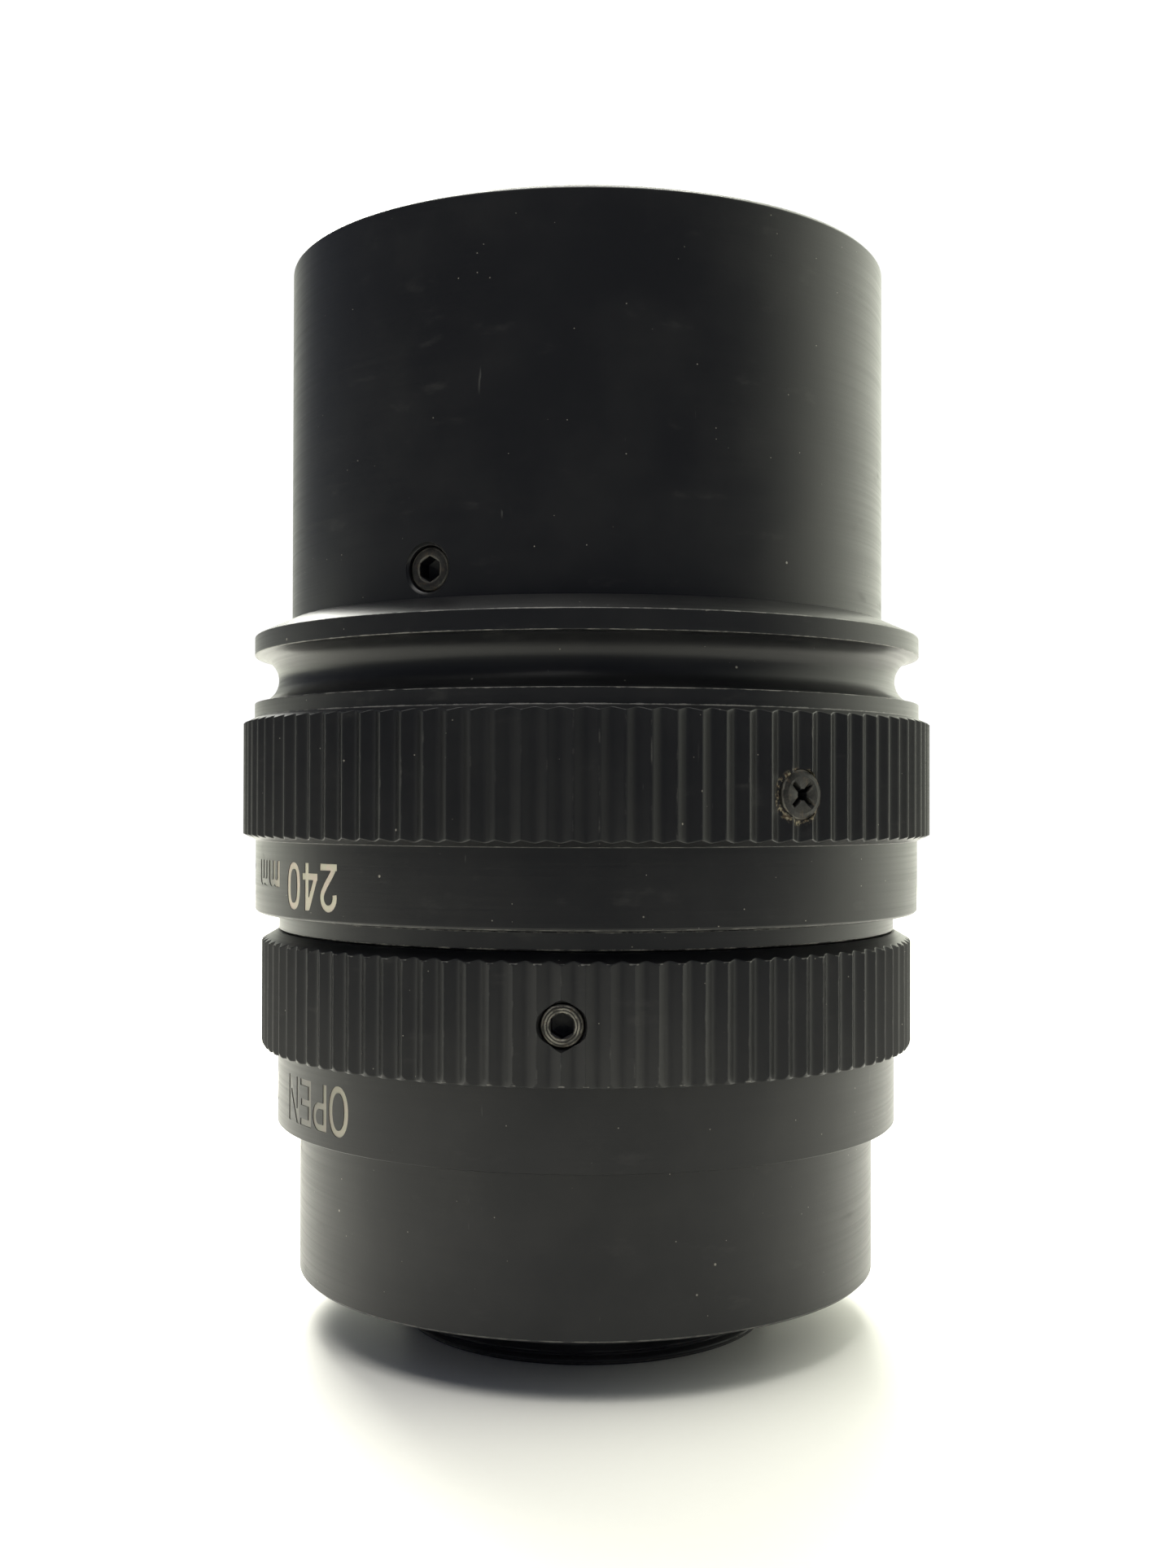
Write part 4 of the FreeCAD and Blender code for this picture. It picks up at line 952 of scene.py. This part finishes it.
def mount_ring():
    edge = 0.3
    outline = softened([
        (MOUNT_BORE, 0.0),
        (MOUNT_THREAD_RADIUS - edge, 0.0),
        (MOUNT_THREAD_RADIUS, edge),
        (MOUNT_THREAD_RADIUS, MOUNT_THREAD_TOP),
        (MOUNT_RELIEF_RADIUS, MOUNT_THREAD_TOP),
        (MOUNT_RELIEF_RADIUS, SHOULDER_HEIGHT),
        (MOUNT_FLANGE_RADIUS, SHOULDER_HEIGHT),
        (MOUNT_FLANGE_RADIUS, MOUNT_FLANGE_TOP),
        (MOUNT_BORE, MOUNT_FLANGE_TOP),
    ], 0.04)
    ring = revolved(
        "threaded_mount_ring",
        lambda bearing: threaded(outline, bearing, MOUNT_THREAD_RADIUS, DRAWN_MOUNT_PITCH, -0.40, 0.04),
        even_bearings(PLAIN_COLUMNS))
    holes = []
    for bearing in MOUNT_SCREW_BEARINGS:
        middle = bearing_point(bearing, MOUNT_SCREW_CIRCLE, 0)
        rings = [(1.77, 3.0), (1.77, 3.72), (1.02, 4.52), (1.02, 6.0)]
        holes.append(spun_solid("hole", rings, 48, Matrix.Translation(middle)))
    combined(ring, holes, "DIFFERENCE")
    edges = [(MOUNT_THREAD_RADIUS - 0.1, 0.2, 0.05), (MOUNT_BORE, 0.0, 0.12)]
    # Painted light: this black is about twice as light as the other anodised parts', standing in for glare
    # and bounce light on the mount ring in the shadow under the shoulder.
    material = anodised("mount_ring_black_painted_light", 0.020, 0.42, edges, dust=0.02)
    return finished(ring, material, "mount_body", ["c_mount_ring"])


# ---- screws ----------------------------------------------------------------------
def barrel_screws():
    """Hex socket set screws with a cone point, sunk a little in the front barrel."""
    hexagonal = hexagon(1.36)
    rings = [
        (0.5, 18.5), (1.41, 19.3), (1.41, 19.98), (1.38, 20.06), (1.32, 20.13), (1.28, 20.18),
        (1.21, 20.23), (1.12, BARREL_SCREW_FACE), (lambda a: hexagonal(a) * 1.14, BARREL_SCREW_FACE),
        (lambda a: hexagonal(a) * 1.03, 20.21), (hexagonal, 20.12), (hexagonal, 19.25), (0.2, 19.1),
    ]
    parts = spun_around("screw", rings, 96, BARREL_SCREW_BEARINGS, BARREL_SCREW_HEIGHT)
    centres = [(bearing, BARREL_SCREW_HEIGHT) for bearing in BARREL_SCREW_BEARINGS]
    material = screw_steel("barrel_screw_steel", centres, 20.2, (0.80, 1.26), 0.34, 0.66)
    piece = joined("socket_set_screws", parts)
    return finished(piece, material, "optical_block", ["front_barrel_set_screws"])


def focus_screws():
    """Cross-head screws on the knurl, with worn recesses."""
    tilt = 45
    face = FOCUS_SCREW_FACE
    rings = [
        (1.0, 22.0), (1.0, FOCUS_SCREW_SEAT), (1.5, FOCUS_SCREW_SEAT), (1.5, 23.45), (1.48, 23.52),
        (1.43, 23.58), (1.32, 23.64), (1.15, 23.68), (1.12, face), (cross(0.165, 1.0, tilt, 1.08), face),
        (cross(0.135, 0.95, tilt), face - 0.07), (cross(0.10, 0.62, tilt), face - 0.60), (0.08, face - 0.85),
    ]
    parts = spun_around("screw", rings, 144, FOCUS_SCREW_BEARINGS, FOCUS_SCREW_HEIGHT)
    centres = [(bearing, FOCUS_SCREW_HEIGHT) for bearing in FOCUS_SCREW_BEARINGS]
    material = screw_steel("focus_screw_steel", centres, face, (1.45,), 0.40)
    piece = joined("cross_head_screws", parts)
    return finished(piece, material, "focus_control", ["focus_ring_screws"])


def lock_screw():
    """Worn hex socket screw that locks the iris ring."""
    face = LOCK_FACE
    hexagonal = hexagon(1.3)
    rings = [
        (1.25, 20.25), (1.25, 21.80), (1.12, 21.90), (1.12, 21.96), (1.25, 22.06), (1.25, 22.12),
        (1.15, 22.18), (1.13, 22.21), (1.19, 22.25), (1.13, 22.32), (1.02, face), (0.92, face),
        (lambda a: hexagonal(a) * 1.12, face - 0.03), (hexagonal, face - 0.12), (hexagonal, face - 1.1),
        (0.2, face - 1.3),
    ]
    piece = spun_solid("worn_lock_screw", rings, 96, radial_frame(LOCK_BEARING, LOCK_HEIGHT))
    centres = [(LOCK_BEARING, LOCK_HEIGHT)]
    material = screw_steel("lock_screw_steel", centres, 22.3, (0.82, 0.99, 1.19), 0.85, 0.72)
    return finished(piece, material, "lock_screw", ["iris_lock_screw"])


# ---- glass -----------------------------------------------------------------------
def drop(curve, radius):
    """How far a face's rim lies behind its middle; a curve is a radius, plus when the face is convex."""
    return math.copysign(abs(curve) - math.sqrt(curve ** 2 - radius ** 2), curve)


def lens_element(name, edge_radius, top, top_curve, bottom, bottom_curve, film):
    """Smooth round element. Heights are at the axis."""
    steps = 20
    radii = [edge_radius * i / steps for i in range(1, steps + 1)]
    rings = [(0.01, bottom)]
    rings += [(r, bottom + drop(bottom_curve, r)) for r in radii]
    rings += [(r, top - drop(top_curve, r)) for r in reversed(radii)]
    rings += [(0.01, top)]
    piece = spun_solid("smooth_" + name, rings, 128, Matrix.Identity(4))
    return finished(piece, coated_glass(name + "_glass", film), "optical_block", [name])


def glass_train():
    """The seven elements, from the front. All heights are for focus at infinity."""
    lens_element("front_lens", 16.0, 57.0, 42.0, 50.5 + drop(150, 16.0), -150.0, 106.0)
    lens_element("second_lens", 14.0, 50.0, 30.0, 43.0 + drop(45, 14.0), -45.0, 98.0)
    lens_element("third_lens", 11.5, 42.4, 26.0, 37.0, 60.0, 110.0)
    lens_element("fourth_lens", 11.5, 37.0, -60.0, 32.2 + drop(20, 11.5), -20.0, 102.0)
    lens_element("fifth_lens", 11.0, 20.5 - drop(20, 11.0), -20.0, 16.2, -60.0, 96.0)
    lens_element("sixth_lens", 11.0, 16.2, 60.0, 11.6, 24.0, 108.0)
    lens_element("rear_lens", 11.0, 11.2, 40.0, 8.8, -400.0, 104.0)


# ---- finishes of the CAD nodes that stay -----------------------------------------
def paint_nodes():
    """Every CAD node that shows gets a finish for what it is made of."""
    spacer_edges = [(SPACER_RADIUS, 26.95, 0.10), (SPACER_RADIUS, 28.05, 0.10)]
    rear_edges = [(REAR_RADIUS - 0.1, 3.8, 0.10)]
    finishes = {
        "anodised_inner": anodised("inner_black", 0.006, 0.48, dust=0.02),
        "brass": turned_metal("greased_brass", (0.62, 0.45, 0.20, 1), (0.16, 0.10, 0.04, 1)),
        "screw_steel": screw_steel("inner_screw_steel", [(0, 3.72)], MOUNT_SCREW_CIRCLE, (1.2,), 0.3),
        "bright_steel": turned_metal("plain_steel", (0.55, 0.55, 0.56, 1), (0.22, 0.21, 0.20, 1), 0.25),
        "blade_steel": anodised("blade_black", 0.012, 0.42, dust=0.0),
        "nylon": nylon(),
    }
    own = {
        "center_sleeve": anodised("spacer_black", 0.011, 0.33, spacer_edges, dust=0.03),
        "rear_barrel": anodised("rear_barrel_black", 0.010, 0.36, rear_edges, dust=0.03),
        "front_retaining_ring": anodised("front_ring_black", 0.008, 0.38, [(14.9, 56.3, 0.15)], dust=0.05),
    }
    for part in frame["record"]["subparts"]:
        node = nodes[part["node"]]
        finish = own.get(part["node"]) or finishes.get(part["material_slot"])
        if finish and not node.hide_render:
            for socket in node.material_slots:
                socket.material = finish


# ---- index marks on the fixed parts ----------------------------------------------
INDEX_HALF_WIDTH = 0.2
INDEX_PROUD = 0.008


def index_marks():
    """Painted lines on the spacer and on the rear barrel. They are not cut in: the paint stands proud."""
    parts = []
    for radius, bearing, low, high in ((SPACER_RADIUS, FOCUS_INDEX, 27.05, 27.98),
                                       (REAR_RADIUS, IRIS_INDEX, 12.3, 13.75)):
        solid = ribbon_solid([(0.0, 0.0), (0.0, high - low)], [INDEX_HALF_WIDTH] * 2)
        parts.append(wrapped(solid.data, 1.0, bearing, high, radius, radius - 0.02, radius + INDEX_PROUD))
        bpy.data.objects.remove(solid)
    return finished(joined("index_marks", parts), PAINT, "mount_body")


# ---- the room --------------------------------------------------------------------
def white_floor():
    side, front, back = 0.40, 0.135, 0.60
    points = [(-side, -front, 0), (side, -front, 0), (side, back, 0), (-side, back, 0)]
    floor = new_object("paper_floor", points, [(0, 1, 2, 3)])
    s = Shader("white_paper")
    fibres = s.noise(s.point, 1.5, 4, 0.7)
    s.set(Base_Color=s.mixed(fibres, (0.92, 0.905, 0.85, 1), (0.94, 0.93, 0.88, 1)))
    s.set(Roughness=0.5, Specular_IOR_Level=0.35)
    floor.data.materials.append(s.material)


def surroundings():
    """White as seen by the camera. It lights the object brightly from behind and the sides, and dimly in
    front."""
    world = bpy.data.worlds.new("studio")
    bpy.context.scene.world = world
    world.use_nodes = True
    tree = world.node_tree
    tree.nodes.clear()

    def add(kind, **settings):
        made = tree.nodes.new(kind)
        for name, value in settings.items():
            setattr(made, name, value)
        return made

    direction = add("ShaderNodeTexCoord").outputs["Generated"]

    def share(lean, start, end):
        """Rises smoothly from 0 to 1 as the direction leans that way."""
        along = add("ShaderNodeVectorMath", operation="DOT_PRODUCT")
        along.inputs[1].default_value = lean
        tree.links.new(direction, along.inputs[0])
        rise = add("ShaderNodeMapRange", interpolation_type="SMOOTHSTEP")
        rise.inputs["From Min"].default_value = start
        rise.inputs["From Max"].default_value = end
        tree.links.new(along.outputs["Value"], rise.inputs["Value"])
        return rise.outputs["Result"]

    def blend(amount, first, second):
        mix = add("ShaderNodeMix", data_type="RGBA")
        mix.inputs["B"].default_value = second
        tree.links.new(amount, mix.inputs["Factor"])
        if isinstance(first, tuple):
            mix.inputs["A"].default_value = first
        else:
            tree.links.new(first, mix.inputs["A"])
        return mix.outputs["Result"]

    sky = blend(share((0.75, 1.0, 0.35), 0.10, 1.30), (0.130, 0.142, 0.186, 1), (2.50, 2.56, 2.18, 1))
    behind = blend(share((0.12, 1.0, 0.0), -0.22, 0.38), (0.140, 0.152, 0.186, 1), (2.40, 2.45, 2.08, 1))
    low = share((0.0, 0.0, -1.0), -0.08, -0.01)
    whole = add("ShaderNodeMix", data_type="RGBA")
    for value, socket in ((low, "Factor"), (sky, "A"), (behind, "B")):
        tree.links.new(value, whole.inputs[socket])
    light = add("ShaderNodeBackground")
    tree.links.new(whole.outputs["Result"], light.inputs["Color"])
    seen = add("ShaderNodeBackground")
    seen.inputs["Color"].default_value = (1, 1, 1, 1)
    seen.inputs["Strength"].default_value = 1.05
    choice = add("ShaderNodeMixShader")
    tree.links.new(add("ShaderNodeLightPath").outputs["Is Camera Ray"], choice.inputs[0])
    tree.links.new(light.outputs[0], choice.inputs[1])
    tree.links.new(seen.outputs[0], choice.inputs[2])
    tree.links.new(choice.outputs[0], add("ShaderNodeOutputWorld").inputs["Surface"])


def soft_light(name, place, size, power, colour):
    """Square area light that points at the middle of the object."""
    data = bpy.data.lights.new(name, "AREA")
    data.size = size
    data.energy = power
    data.color = colour
    lamp = bpy.data.objects.new(name, data)
    bpy.context.scene.collection.objects.link(lamp)
    lamp.location = place
    lamp.rotation_mode = "QUATERNION"
    lamp.rotation_quaternion = (Vector(place) - Vector((0, 0, 0.036))).to_track_quat("Z", "Y")


def camera():
    data = bpy.data.cameras.new("camera")
    data.sensor_width = 36.0
    data.lens = 38.79
    data.clip_start = 0.005
    data.clip_end = 10.0
    eye = bpy.data.objects.new("camera", data)
    bpy.context.scene.collection.objects.link(eye)
    pitch = math.radians(90 + 0.593)
    roll = math.radians(0.13)
    eye.matrix_world = (Matrix.Translation((0.0001, -0.1195, 0.03562))
                        @ Matrix.Rotation(pitch, 4, "X") @ Matrix.Rotation(roll, 4, "Z"))
    bpy.context.scene.camera = eye


PAINT = marking_paint()
front_barrel()
focus_ring()
iris_ring()
mount_ring()
barrel_screws()
focus_screws()
lock_screw()
glass_train()
index_marks()
paint_nodes()
white_floor()
surroundings()
soft_light("back_light", (-0.07, 0.36, 0.45), 0.4, 7.0, (1.0, 1.0, 0.93))
soft_light("top_light", (-0.08, -0.10, 0.50), 0.35, 2.0, (1.0, 0.99, 0.94))
camera()
bpy.context.scene.view_settings.view_transform = "Standard"
